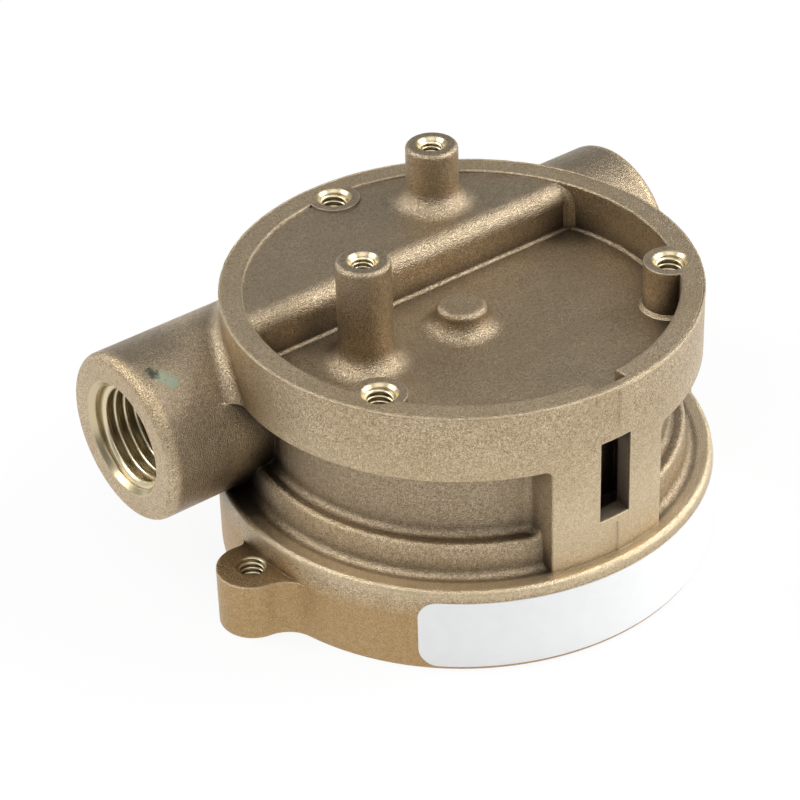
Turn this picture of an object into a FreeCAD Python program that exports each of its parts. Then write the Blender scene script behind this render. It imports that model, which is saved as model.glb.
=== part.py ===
import FreeCAD, Part

import math
import os

import Sketcher
from FreeCAD import Placement, Rotation, Vector

# Flow indicator with a cast bronze body, lying on its window side.
# X runs along the two ports, Z is the rotor's axis and points out of the back,
# and the origin is on that axis in the plane of the window flange.
# Lengths are in millimetres and angles in degrees.

SIZES = [
    # Outside of the casting, turned shape
    ("rim_radius", 28.5, "rear rim band"),
    ("rim_band", 8.7, "height of the rim band"),
    ("neck_radius", 24.5, "neck around the rotor chamber"),
    ("step_radius", 27.0, "step between neck and flange"),
    ("step_rise", 4.1, "top of that step above the flange"),
    ("flange_radius", 30.1, "window flange"),
    ("flange_height", 11.2, "thickness of the window flange"),
    ("casting_draft", 0.35, "taper of the step, base to top"),
    ("ledge_fillet", 0.9, "inside corners of the ledges"),
    ("ledge_round", 0.6, "outside corners of the ledges"),
    ("edge_round", 0.3, "cast edges of the rim and the foot of the flange"),
    # Ports
    ("port_offset", 16.0, "port axis from the rotor axis"),
    ("port_height", 20.0, "port axis above the window flange"),
    ("rim_above_port", 14.1, "rear rim above the port axis"),
    ("port_boss_radius", 10.6, "outside of the port bosses"),
    ("port_reach", 38.4, "port face from the rotor axis"),
    ("port_face_round", 1.2, "outer corner of the port faces"),
    ("port_blend", 1.6, "casting fillet between boss and rim band"),
    ("blend_margin", 0.4, "neck cut outside those fillets"),
    ("port_thread_radius", 6.58, "major radius of the quarter-inch parallel pipe thread"),
    ("port_thread_depth", 11.0, "length of that thread"),
    ("port_mouth_chamfer", 0.65, "countersink at the port's mouth"),
    ("channel_radius", 4.25, "flow channel"),
    # Cable exit
    ("cable_block_left", 8.8, "edge of the raised block towards the near port"),
    ("cable_block_right", 7.0, "edge of the raised block towards the far port"),
    ("block_corner", 1.2, "inside corners beside the block"),
    ("slot_centre", -0.7, "middle of the slot along the port axis"),
    ("slot_width", 4.3, "slot"),
    ("slot_above_step", 1.0, "lower end of the slot above the step"),
    ("slot_into_rim", 1.8, "upper end of the slot above the underside of the rim"),
    ("slot_wall", 2.2, "wall that the slot goes through"),
    ("pocket_width", 8.0, "cable pocket behind the slot"),
    ("pocket_depth", 2.7, "cable pocket, towards the rotor"),
    ("pocket_sill", 1.0, "depth of the pocket below the slot"),
    ("rim_skin", 1.1, "wall left where the cable passes the rim"),
    # Mounting ears
    ("ear_overhang", 1.8, "ear hole outside the flange"),
    ("ear_radius", 4.2, "ear around its hole"),
    ("ear_height", 7.6, "ear"),
    ("ear_blend", 4.0, "hollow between ear and flange, on the side with the label"),
    ("ear_back_blend", 1.0, "the same below the port"),
    ("ear_hole_radius", 1.75, "major radius of the ear thread"),
    # Rear recess
    ("rim_wall", 2.9, "wall of the rim"),
    ("recess_depth", 6.15, "rim to the floor of the recess"),
    ("plateau_drop", 0.3, "rim to the plateau over the flow channel"),
    ("plateau_edge", 8.7, "wall of the plateau from the rotor axis"),
    ("plateau_round", 2.3, "rounding along the plateau's edge"),
    ("floor_fillet", 0.45, "corner between floor and walls"),
    ("recess_round", 0.25, "inner edge of the rim"),
    ("rim_hole_inset", 3.55, "tapped holes of the rim inside its edge"),
    ("rim_hole_radius", 1.75, "major radius of the rim thread"),
    ("rim_hole_depth", 7.2, "rim holes"),
    ("rim_hole_chamfer", 0.4, "countersink of the rim holes"),
    ("rim_boss_radius", 3.2, "boss around each rim hole"),
    # Standoff posts and pin boss
    ("near_post_x", -13.15, "near post"),
    ("near_post_y", 1.35, "near post"),
    ("far_post_x", 9.4, "far post"),
    ("far_post_y", 17.3, "far post"),
    ("post_radius", 3.25, "both posts"),
    ("post_rise", 7.4, "top of the posts above the rim"),
    ("post_fillet", 2.5, "foot of the posts"),
    ("post_edge", 0.6, "top edge of the posts"),
    ("post_hole_radius", 1.42, "major radius of the post thread"),
    ("post_hole_depth", 6.5, "post holes"),
    ("post_hole_chamfer", 0.45, "countersink of the post holes"),
    ("pin_boss_radius", 3.1, "boss over the blind end of the rotor pin"),
    ("pin_boss_rise", 3.0, "that boss above the floor of the recess"),
    ("pin_boss_fillet", 2.1, "foot of that boss"),
    ("pin_boss_edge", 0.8, "top edge of that boss"),
    # Wet side of the casting
    ("chamber_radius", 20.6, "rotor chamber"),
    ("chamber_roof", 3.05, "wall between chamber and recess"),
    ("chamber_mouth", 12.4, "height where the chamber begins"),
    ("window_shoulder", 2.4, "bore for the window outside the chamber"),
    ("bore_lead", 0.5, "chamfer at the mouth of the window bore"),
    ("bayonet_groove_depth", 2.6, "bayonet groove outside that bore"),
    ("bayonet_lip", 2.8, "lip that holds the lugs"),
    ("bayonet_groove_height", 2.8, "bayonet groove"),
    ("bayonet_notch_angle", 35.0, "entry notch for a lug"),
    ("bayonet_twist", 45.0, "turn from locked to free"),
    ("lug_clearance_angle", 2.0, "play of a lug at each end of its groove"),
    ("thrust_boss_radius", 3.4, "bearing face for the rotor hub"),
    ("thrust_boss_rise", 0.35, "that face proud of the chamber roof"),
    # Window
    ("window_clearance", 0.15, "radial play of the window in its bore"),
    ("window_front", 0.9, "recess of the window's front rim"),
    ("window_nose", 2.0, "clear plate inside the chamber"),
    ("window_plate", 4.8, "thickness of the clear plate"),
    ("window_skirt", 4.0, "skirt around the front cup"),
    ("window_shoulder_gap", 0.2, "play between window and shoulder"),
    ("lug_height", 2.4, "bayonet lug"),
    ("lug_gap", 0.2, "lug below the lip"),
    ("grip_length", 6.5, "grip wings inside the skirt"),
    ("grip_width", 3.0, "grip wings"),
    ("grip_recess", 1.2, "grip wings behind the window's front rim"),
    ("bearing_boss_radius", 3.4, "pin boss inside the window"),
    ("bearing_boss_rise", 1.0, "that boss above the plate"),
    ("pin_bore_clearance", 0.02, "pin in its two seats, radial"),
    ("front_seat_depth", 3.8, "pin seat in the window"),
    ("rear_seat_depth", 4.1, "pin seat in the casting"),
    # Seal
    ("seal_section", 1.0, "radius of the seal's section"),
    ("seal_groove_width", 2.4, "groove of the seal"),
    ("seal_groove_front", 7.0, "front of that groove"),
    ("seal_clearance", 0.03, "seal to the bore and to the groove"),
    # Rotor
    ("pin_radius", 1.2, "rotor pin"),
    ("pin_end_gap", 0.1, "pin to the bottom of each seat"),
    ("pin_chamfer", 0.2, "ends of the pin"),
    ("rotor_running_gap", 0.05, "hub on the pin, radial"),
    ("rotor_end_play", 0.2, "hub to each bearing face"),
    ("hub_radius", 4.0, "hub"),
    ("vane_count", 6, "vanes"),
    ("vane_tip_gap", 1.4, "vanes to the chamber wall"),
    ("vane_thickness", 1.6, "vanes"),
    ("vane_front_gap", 1.5, "vanes to the window"),
    ("vane_back_gap", 0.7, "vanes to the chamber roof"),
    ("web_radius", 10.5, "web between the vanes"),
    ("web_thickness", 1.3, "web"),
    ("magnet_inset", 4.6, "magnets inside the tip of the vanes"),
    ("magnet_radius", 1.5, "magnets"),
    ("magnet_length", 3.2, "magnets"),
    ("magnet_barrel_wall", 0.8, "barrel around each magnet"),
    # Low-flow adapter
    ("adapter_flange_radius", 5.5, "adapter's flange, inside the thread"),
    ("adapter_flange_length", 1.6, "adapter's flange"),
    ("adapter_length", 9.0, "adapter, flange and tube"),
    ("adapter_clearance", 0.08, "adapter in its seat and in the channel, radial"),
    ("adapter_jet_radius", 1.6, "jet"),
    ("adapter_funnel_radius", 3.4, "mouth of the funnel before the jet"),
    ("adapter_funnel_length", 3.0, "funnel"),
    # Label
    ("label_start_angle", -139.0, "first edge of the label"),
    ("label_sweep_angle", 117.0, "angle that the label covers"),
    ("label_bottom", 0.55, "lower edge of the label"),
    ("label_headroom", 1.5, "label below the top of the flange"),
    ("label_thickness", 0.15, "label"),
    ("label_corner", 2.4, "corners of the label"),
]

DOCUMENT = FreeCAD.newDocument("flow_indicator")
SHEET = DOCUMENT.addObject("Spreadsheet::Sheet", "sizes")


class Size:
    """A cell of the sheet, or a sum worked out from cells: its expression and its number."""

    def __init__(self, text, number):
        self.text = text
        self.number = float(number)

    def __add__(self, other):
        other = as_size(other)
        return Size(f"({self.text} + {other.text})", self.number + other.number)

    def __sub__(self, other):
        other = as_size(other)
        return Size(f"({self.text} - {other.text})", self.number - other.number)

    def __mul__(self, other):
        other = as_size(other)
        return Size(f"({self.text} * {other.text})", self.number * other.number)

    def __truediv__(self, other):
        other = as_size(other)
        return Size(f"({self.text} / {other.text})", self.number / other.number)

    def __neg__(self):
        return Size(f"(0 - {self.text})", -self.number)


def as_size(value):
    if isinstance(value, Size):
        return value
    return Size(repr(value), value)


def cosine(angle):
    return Size(f"cos({angle.text})", math.cos(math.radians(angle.number)))


def sine(angle):
    return Size(f"sin({angle.text})", math.sin(math.radians(angle.number)))


def fill_sheet():
    """Write the driving dimensions into the sheet and return them by name."""
    cells = {}
    for row, (name, value, meaning) in enumerate(SIZES, start=1):
        SHEET.set(f"A{row}", name)
        SHEET.set(f"B{row}", str(value))
        SHEET.setAlias(f"B{row}", name)
        SHEET.set(f"C{row}", meaning)
        cells[name] = Size(f"sizes.{name}", value)
    DOCUMENT.recompute()
    return cells


S = fill_sheet()
ZERO = Size("0", 0.0)
TOLERANCE = 1e-3

# Places that several pieces share
RIM_TOP = S["port_height"] + S["rim_above_port"]
RIM_UNDERSIDE = RIM_TOP - S["rim_band"]
STEP_HEIGHT = S["flange_height"] + S["step_rise"]
STEP_TOP_RADIUS = S["step_radius"] - S["casting_draft"]
FLOOR = RIM_TOP - S["recess_depth"]
PLATEAU = RIM_TOP - S["plateau_drop"]
POST_TOP = RIM_TOP + S["post_rise"]
RECESS_RADIUS = S["rim_radius"] - S["rim_wall"]
RIM_HOLE_CIRCLE = S["rim_radius"] - S["rim_hole_inset"]
EAR_REACH = S["flange_radius"] + S["ear_overhang"]
CHAMBER_TOP = FLOOR - S["chamber_roof"]
WINDOW_BORE_RADIUS = S["chamber_radius"] + S["window_shoulder"]
GROOVE_RADIUS = WINDOW_BORE_RADIUS + S["bayonet_groove_depth"]
PLATE_BACK = S["chamber_mouth"] + S["window_nose"]
PLATE_FRONT = PLATE_BACK - S["window_plate"]
CUP_RADIUS = WINDOW_BORE_RADIUS - S["window_skirt"]
PORT_SHOULDER = S["port_reach"] - S["port_thread_depth"]
NECK_CUT_RADIUS = S["rim_radius"] + S["port_blend"] + S["blend_margin"]
REAR_BEARING = CHAMBER_TOP - S["thrust_boss_rise"]
FRONT_BEARING = PLATE_BACK + S["bearing_boss_rise"]
PIN_SEAT_RADIUS = S["pin_radius"] + S["pin_bore_clearance"]
REAR_SEAT_END = REAR_BEARING + S["rear_seat_depth"]
FRONT_SEAT_END = FRONT_BEARING - S["front_seat_depth"]
VANE_RADIUS = S["chamber_radius"] - S["vane_tip_gap"]
VANE_FRONT = PLATE_BACK + S["vane_front_gap"]
VANE_BACK = CHAMBER_TOP - S["vane_back_gap"]
MAGNET_CIRCLE = VANE_RADIUS - S["magnet_inset"]
LUG_LOCKED_ANGLE = S["bayonet_twist"]
WINDOW_RADIUS = WINDOW_BORE_RADIUS - S["window_clearance"]
SLOT_LEFT = S["slot_centre"] - S["slot_width"] / 2
SLOT_RIGHT = S["slot_centre"] + S["slot_width"] / 2
SLOT_BOTTOM = STEP_HEIGHT + S["slot_above_step"]
SLOT_TOP = RIM_UNDERSIDE + S["slot_into_rim"]
BLOCK_INNER = S["neck_radius"] - S["pocket_depth"] - S["slot_wall"]


def bind(item, **properties):
    """Tie an object's properties to sizes; two underscores in a name stand for a dot."""
    for name, size in properties.items():
        item.setExpression(name.replace("__", "."), as_size(size).text)


def new_body(name):
    body = DOCUMENT.addObject("PartDesign::Body", name)
    body.Label = name
    return body


def origin_item(body, role):
    return next(item for item in body.Origin.OriginFeatures if item.Role == role)


def new_sketch(body, name, role, x=ZERO, y=ZERO, lift=ZERO, turn=None):
    """A sketch on one of the body's origin planes, shifted in the plane and along its normal.

    On XY the normal is +Z. On XZ the sketch's x and y are X and Z, and its normal is -Y.
    On YZ they are Y and Z, and its normal is +X. turn swings the sketch about its own y.
    """
    sketch = body.newObject("Sketcher::SketchObject", name)
    sketch.AttachmentSupport = [(origin_item(body, role), "")]
    sketch.MapMode = "FlatFace"
    if turn is not None:
        sketch.AttachmentOffset = Placement(Vector(), Rotation(Vector(0, 1, 0), 1))
        bind(sketch, AttachmentOffset__Rotation__Angle=turn)
    bind(
        sketch,
        AttachmentOffset__Base__x=x,
        AttachmentOffset__Base__y=y,
        AttachmentOffset__Base__z=lift,
    )
    return sketch


def fix(sketch, kind, geometry, point, size):
    """Hold one coordinate of a sketch point at a size."""
    index = sketch.addConstraint(Sketcher.Constraint(kind, -1, 1, geometry, point, size.number))
    sketch.setExpression(f"Constraints[{index}]", size.text)


def add_circle(sketch, radius, x=ZERO, y=ZERO):
    centre = Vector(x.number, y.number, 0)
    index = sketch.addGeometry(Part.Circle(centre, Vector(0, 0, 1), radius.number))
    fix(sketch, "DistanceX", index, 3, x)
    fix(sketch, "DistanceY", index, 3, y)
    constraint = sketch.addConstraint(Sketcher.Constraint("Radius", index, radius.number))
    sketch.setExpression(f"Constraints[{constraint}]", radius.text)


def add_outline(sketch, corners, arc_radius=None, arc_after=None):
    """A closed outline through corners, each a pair of coordinates.

    A Size pins its coordinate. A plain number is only a first guess, used at the ends of the
    one arc, which runs anticlockwise about the sketch's origin after corner arc_after.
    """
    points = [Vector(as_size(x).number, as_size(y).number, 0) for x, y in corners]
    count = len(points)
    for index in range(count):
        start = points[index]
        end = points[(index + 1) % count]
        if index == arc_after:
            circle = Part.Circle(Vector(), Vector(0, 0, 1), arc_radius.number)
            first = math.atan2(start.y, start.x)
            last = math.atan2(end.y, end.x)
            sketch.addGeometry(Part.ArcOfCircle(circle, first, last))
        else:
            sketch.addGeometry(Part.LineSegment(start, end))
    for index in range(count):
        sketch.addConstraint(Sketcher.Constraint("Coincident", index, 2, (index + 1) % count, 1))
    for index, (x, y) in enumerate(corners):
        if isinstance(x, Size):
            fix(sketch, "DistanceX", index, 1, x)
        if isinstance(y, Size):
            fix(sketch, "DistanceY", index, 1, y)
    if arc_after is not None:
        sketch.addConstraint(Sketcher.Constraint("Coincident", arc_after, 3, -1, 1))
        radius = Sketcher.Constraint("Radius", arc_after, arc_radius.number)
        constraint = sketch.addConstraint(radius)
        sketch.setExpression(f"Constraints[{constraint}]", arc_radius.text)


def add_box(sketch, left, right, bottom, top):
    add_outline(sketch, [(left, bottom), (right, bottom), (right, top), (left, top)])


def check_feature(feature):
    if "Invalid" in feature.State or "Error" in feature.State or feature.Shape.isNull():
        raise RuntimeError(f"{feature.Name} failed: {feature.State}")


def finish_feature(body, feature, should_grow, last=None):
    """Recompute and make sure that the feature changed the solid the way it should."""
    last = last or feature.BaseFeature
    before = last.Shape.Volume if last else 0.0
    DOCUMENT.recompute()
    check_feature(feature)
    change = feature.Shape.Volume - before
    if should_grow and change <= 0:
        raise RuntimeError(f"{feature.Name} adds nothing")
    if not should_grow and change >= 0:
        raise RuntimeError(f"{feature.Name} cuts nothing")
    body.Tip = feature
    return feature


def pad(body, name, sketch, length, both_ways=False, downwards=False):
    feature = body.newObject("PartDesign::Pad", name)
    feature.Profile = sketch
    feature.SideType = "Symmetric" if both_ways else "One side"
    feature.Reversed = downwards
    bind(feature, Length=length)
    return finish_feature(body, feature, True)


def pocket(body, name, sketch, depth, both_ways=False, upwards=False):
    """Cut against the sketch's normal, or along it when upwards is set."""
    feature = body.newObject("PartDesign::Pocket", name)
    feature.Profile = sketch
    feature.SideType = "Symmetric" if both_ways else "One side"
    feature.Reversed = upwards
    bind(feature, Length=depth)
    return finish_feature(body, feature, False)


def revolve(body, name, sketch, axis="V_Axis", angle=None, midplane=False, cut=False):
    kind = "PartDesign::Groove" if cut else "PartDesign::Revolution"
    feature = body.newObject(kind, name)
    feature.Profile = sketch
    feature.ReferenceAxis = (sketch, [axis])
    feature.Midplane = midplane
    if angle is None:
        feature.Angle = 360
    else:
        bind(feature, Angle=angle)
    return finish_feature(body, feature, not cut)


def polar(body, name, originals, count, grows):
    feature = body.newObject("PartDesign::PolarPattern", name)
    feature.Originals = originals
    feature.Axis = (origin_item(body, "Z_Axis"), [""])
    feature.Angle = 360
    bind(feature, Occurrences=as_size(count))
    return finish_feature(body, feature, grows, last=originals[-1])


def edge_names(feature, test):
    """Names of the feature's edges for which test(edge) is true."""
    names = [f"Edge{i}" for i, edge in enumerate(feature.Shape.Edges, start=1) if test(edge)]
    if not names:
        raise RuntimeError(f"{feature.Name} has no such edge")
    return names


def round_at(radius, height, centre=None):
    """Test for a circular edge about a vertical axis, by radius, height and perhaps centre."""

    def test(edge):
        curve = edge.Curve
        if not isinstance(curve, Part.Circle) or abs(abs(curve.Axis.z) - 1) > TOLERANCE:
            return False
        if abs(curve.Radius - radius.number) > TOLERANCE:
            return False
        if abs(curve.Center.z - height.number) > TOLERANCE:
            return False
        if centre is None:
            return True
        x, y = centre
        return math.hypot(curve.Center.x - x.number, curve.Center.y - y.number) < TOLERANCE

    return test


def fillet(body, name, test, radius):
    base = body.Tip
    feature = body.newObject("PartDesign::Fillet", name)
    feature.Base = (base, edge_names(base, test))
    bind(feature, Radius=radius)
    DOCUMENT.recompute()
    check_feature(feature)
    body.Tip = feature
    return feature


def chamfer(body, name, test, size):
    base = body.Tip
    feature = body.newObject("PartDesign::Chamfer", name)
    feature.Base = (base, edge_names(base, test))
    bind(feature, Size=size)
    DOCUMENT.recompute()
    check_feature(feature)
    body.Tip = feature
    return feature


# Casting: rim band and the bosses that run into it


def boss_circle(edge, x):
    """Is this edge the outer circle of a boss's end, at x or at its mirror?"""
    curve = edge.Curve
    return (
        isinstance(curve, Part.Circle)
        and abs(curve.Radius - S["port_boss_radius"].number) < TOLERANCE
        and abs(abs(curve.Center.x) - x.number) < TOLERANCE
    )


def make_rim_band(body):
    """A plain drum with both bosses, blended all round, then cut back to the neck.

    The blends are made here because each one is a closed loop on the drum; the cut keeps
    the part that lies on the rim band.
    """
    sketch = new_sketch(body, "drum_outline", "XY_Plane")
    add_circle(sketch, S["rim_radius"])
    pad(body, "drum", sketch, RIM_TOP)
    sketch = new_sketch(body, "boss_outline", "YZ_Plane")
    add_circle(sketch, S["port_boss_radius"], S["port_offset"], S["port_height"])
    pad(body, "bosses", sketch, S["port_reach"] * 2, both_ways=True)
    port_end = S["port_reach"]
    fillet(body, "port_face_edges", lambda edge: boss_circle(edge, port_end), S["port_face_round"])

    def on_drum_and_boss(edge):
        middle = edge.valueAt((edge.FirstParameter + edge.LastParameter) / 2)
        from_port_axis = math.hypot(
            middle.y - S["port_offset"].number, middle.z - S["port_height"].number
        )
        return (
            abs(math.hypot(middle.x, middle.y) - S["rim_radius"].number) < TOLERANCE
            and abs(from_port_axis - S["port_boss_radius"].number) < TOLERANCE
        )

    fillet(body, "port_blends", on_drum_and_boss, S["port_blend"])
    sketch = new_sketch(body, "neck_cut_profile", "XZ_Plane")
    add_box(sketch, S["neck_radius"], NECK_CUT_RADIUS, ZERO, RIM_UNDERSIDE)
    revolve(body, "neck_cut", sketch, cut=True)


# Casting: flange with its ears


def add_flange(body):
    sketch = new_sketch(body, "flange_profile", "XZ_Plane")
    corners = [
        (ZERO, ZERO),
        (S["flange_radius"], ZERO),
        (S["flange_radius"], S["flange_height"]),
        (S["step_radius"], S["flange_height"]),
        (STEP_TOP_RADIUS, STEP_HEIGHT),
        (ZERO, STEP_HEIGHT),
    ]
    add_outline(sketch, corners)
    revolve(body, "flange", sketch)


def add_ears(body):
    """Ears on the flange, while its foot is still sharp, so that their blends end cleanly."""
    sketch = new_sketch(body, "ear_outline", "XY_Plane")
    add_circle(sketch, S["ear_radius"], EAR_REACH)
    ear = pad(body, "ear", sketch, S["ear_height"])
    polar(body, "ears", [ear], 2, True)

    def beside_ear(edge):
        ends = [vertex.Point for vertex in edge.Vertexes]
        if len(ends) != 2 or not isinstance(edge.Curve, Part.Line):
            return False
        upright = math.hypot(ends[0].x - ends[1].x, ends[0].y - ends[1].y) < TOLERANCE
        on_flange = abs(math.hypot(ends[0].x, ends[0].y) - S["flange_radius"].number) < TOLERANCE
        near_ear = abs(ends[0].y) < S["ear_radius"].number * 1.1
        return upright and on_flange and near_ear

    def below_port(edge):
        start = edge.Vertexes[0].Point
        return beside_ear(edge) and start.x * start.y < 0

    fillet(body, "ear_back_blends", below_port, S["ear_back_blend"])
    fillet(body, "ear_blends", beside_ear, S["ear_blend"])


# Casting: block round the cable slot, ledges


def add_cable_block(body):
    sketch = new_sketch(body, "cable_block_outline", "XY_Plane", lift=STEP_HEIGHT / 2)
    radius = S["rim_radius"]
    left = -S["cable_block_left"]
    right = S["cable_block_right"]
    left_guess = -math.sqrt(radius.number**2 - left.number**2)
    right_guess = -math.sqrt(radius.number**2 - right.number**2)
    corners = [(left, left_guess), (right, right_guess), (right, -BLOCK_INNER), (left, -BLOCK_INNER)]
    add_outline(sketch, corners, arc_radius=radius, arc_after=0)
    height = RIM_UNDERSIDE + S["rim_band"] / 2 - STEP_HEIGHT / 2
    pad(body, "cable_block", sketch, height)

    def beside_block(edge):
        ends = [vertex.Point for vertex in edge.Vertexes]
        if len(ends) != 2 or not isinstance(edge.Curve, Part.Line):
            return False
        upright = math.hypot(ends[0].x - ends[1].x, ends[0].y - ends[1].y) < TOLERANCE
        on_side = min(abs(ends[0].x - left.number), abs(ends[0].x - right.number)) < TOLERANCE
        on_neck = abs(math.hypot(ends[0].x, ends[0].y) - S["neck_radius"].number) < TOLERANCE
        return upright and on_side and on_neck and ends[0].y < 0

    fillet(body, "block_corners", beside_block, S["block_corner"])


def round_ledges(body):
    """Round the ledges below the rim one at a time, then their outer edges."""
    under_rim = round_at(S["neck_radius"], RIM_UNDERSIDE)
    upper_ledge = round_at(S["neck_radius"], STEP_HEIGHT)
    lower_ledge = round_at(S["step_radius"], S["flange_height"])
    fillet(body, "under_rim_corner", under_rim, S["ledge_fillet"])
    fillet(body, "upper_ledge_corner", upper_ledge, S["ledge_fillet"])
    fillet(body, "lower_ledge_corner", lower_ledge, S["ledge_fillet"])
    flange_edge = round_at(S["flange_radius"], S["flange_height"])
    step_edge = round_at(STEP_TOP_RADIUS, STEP_HEIGHT)
    fillet(
        body,
        "ledge_edges",
        lambda edge: flange_edge(edge) or step_edge(edge),
        S["ledge_round"],
    )
    foot = round_at(S["flange_radius"], ZERO)
    rim_low = round_at(S["rim_radius"], RIM_UNDERSIDE)
    rim_high = round_at(S["rim_radius"], RIM_TOP)
    fillet(
        body,
        "cast_edges",
        lambda edge: foot(edge) or rim_low(edge) or rim_high(edge),
        S["edge_round"],
    )


# Casting: lower half of the bosses


def restore_bosses(body):
    """Fill the bosses in again where the neck cut went through them."""
    sketch = new_sketch(
        body, "lower_boss_outline", "YZ_Plane", x=S["port_offset"], y=S["port_height"]
    )
    chord = RIM_UNDERSIDE - S["port_height"]
    half = math.sqrt(S["port_boss_radius"].number ** 2 - chord.number**2)
    corners = [(-half, chord), (half, chord)]
    add_outline(sketch, corners, arc_radius=S["port_boss_radius"], arc_after=0)
    pad(body, "lower_bosses", sketch, NECK_CUT_RADIUS * 2, both_ways=True)


# Casting: rear recess with its plateau, posts and bosses


def cut_recess(body):
    sketch = new_sketch(body, "recess_outline", "XY_Plane", lift=RIM_TOP)
    add_circle(sketch, RECESS_RADIUS)
    pocket(body, "recess", sketch, S["recess_depth"])
    fillet(body, "recess_edge", round_at(RECESS_RADIUS, RIM_TOP), S["recess_round"])

    sketch = new_sketch(body, "plateau_outline", "XY_Plane", lift=FLOOR)
    radius = (RECESS_RADIUS + S["rim_radius"]) / 2
    reach = math.sqrt(radius.number**2 - S["plateau_edge"].number ** 2)
    corners = [(reach, S["plateau_edge"]), (-reach, S["plateau_edge"])]
    add_outline(sketch, corners, arc_radius=radius, arc_after=0)
    pad(body, "plateau", sketch, PLATEAU - FLOOR)

    def plateau_lip(edge):
        middle = edge.valueAt((edge.FirstParameter + edge.LastParameter) / 2)
        return (
            isinstance(edge.Curve, Part.Line)
            and abs(middle.y - S["plateau_edge"].number) < TOLERANCE
            and abs(middle.z - PLATEAU.number) < TOLERANCE
        )

    fillet(body, "plateau_edge_round", plateau_lip, S["plateau_round"])

    def on_floor(edge):
        middle = (edge.FirstParameter + edge.LastParameter) / 2
        parameters = (edge.FirstParameter, middle, edge.LastParameter)
        points = [edge.valueAt(parameter) for parameter in parameters]
        level = all(abs(point.z - FLOOR.number) < TOLERANCE for point in points)
        reach = max(math.hypot(point.x, point.y) for point in points)
        return level and reach < RECESS_RADIUS.number + TOLERANCE

    fillet(body, "recess_foot", on_floor, S["floor_fillet"])


def add_rim_bosses(body):
    base = (FLOOR + CHAMBER_TOP) / 2
    sketch = new_sketch(body, "rim_boss_outline", "XY_Plane", lift=base)
    add_circle(sketch, S["rim_boss_radius"], ZERO, RIM_HOLE_CIRCLE)
    boss = pad(body, "rim_boss", sketch, RIM_TOP - base)
    polar(body, "rim_bosses", [boss], 3, True)


def add_post(body, name, x, y, base):
    sketch = new_sketch(body, f"{name}_outline", "XY_Plane", lift=base)
    add_circle(sketch, S["post_radius"], x, y)
    pad(body, name, sketch, POST_TOP - base)
    foot = round_at(S["post_radius"], base, (x, y))
    fillet(body, f"{name}_foot", foot, S["post_fillet"])
    sketch = new_sketch(body, f"{name}_hole_outline", "XY_Plane", lift=POST_TOP)
    add_circle(sketch, S["post_hole_radius"], x, y)
    pocket(body, f"{name}_hole", sketch, S["post_hole_depth"])


def finish_post_tops(body):
    fillet(body, "post_top_edges", round_at(S["post_radius"], POST_TOP), S["post_edge"])
    mouth = round_at(S["post_hole_radius"], POST_TOP)
    chamfer(body, "post_hole_mouths", mouth, S["post_hole_chamfer"])


def add_pin_boss(body):
    sketch = new_sketch(body, "pin_boss_outline", "XY_Plane", lift=FLOOR)
    add_circle(sketch, S["pin_boss_radius"])
    pad(body, "pin_boss", sketch, S["pin_boss_rise"])
    fillet(body, "pin_boss_foot", round_at(S["pin_boss_radius"], FLOOR), S["pin_boss_fillet"])
    top = round_at(S["pin_boss_radius"], FLOOR + S["pin_boss_rise"])
    fillet(body, "pin_boss_edge", top, S["pin_boss_edge"])


# Casting: wet side


def cut_wet_side(body):
    sketch = new_sketch(body, "chamber_profile", "XZ_Plane")
    corners = [
        (ZERO, ZERO),
        (WINDOW_BORE_RADIUS, ZERO),
        (WINDOW_BORE_RADIUS, S["chamber_mouth"]),
        (S["chamber_radius"], S["chamber_mouth"]),
        (S["chamber_radius"], CHAMBER_TOP),
        (S["thrust_boss_radius"], CHAMBER_TOP),
        (S["thrust_boss_radius"], REAR_BEARING),
        (PIN_SEAT_RADIUS, REAR_BEARING),
        (PIN_SEAT_RADIUS, REAR_SEAT_END),
        (ZERO, REAR_SEAT_END),
    ]
    add_outline(sketch, corners)
    revolve(body, "chamber", sketch, cut=True)
    mouth = round_at(WINDOW_BORE_RADIUS, ZERO)
    chamfer(body, "window_bore_lead", mouth, S["bore_lead"])


def cut_bayonet(body):
    """Three entry notches, each running into a groove that ends at the locked position."""
    notch_sketch = new_sketch(body, "notch_profile", "XZ_Plane")
    inner = WINDOW_BORE_RADIUS - S["bore_lead"]
    top = S["bayonet_lip"] + S["bayonet_groove_height"]
    add_box(notch_sketch, inner, GROOVE_RADIUS, ZERO, top)
    angle = S["bayonet_notch_angle"]
    notch = revolve(body, "notch", notch_sketch, angle=angle, midplane=True, cut=True)

    middle = S["bayonet_twist"] / 2
    groove_sketch = new_sketch(body, "groove_profile", "XZ_Plane", turn=middle)
    add_box(groove_sketch, inner, GROOVE_RADIUS, S["bayonet_lip"], top)
    angle = S["bayonet_twist"] + S["bayonet_notch_angle"]
    groove = revolve(body, "groove", groove_sketch, angle=angle, midplane=True, cut=True)
    polar(body, "bayonet", [notch, groove], 3, False)


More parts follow.
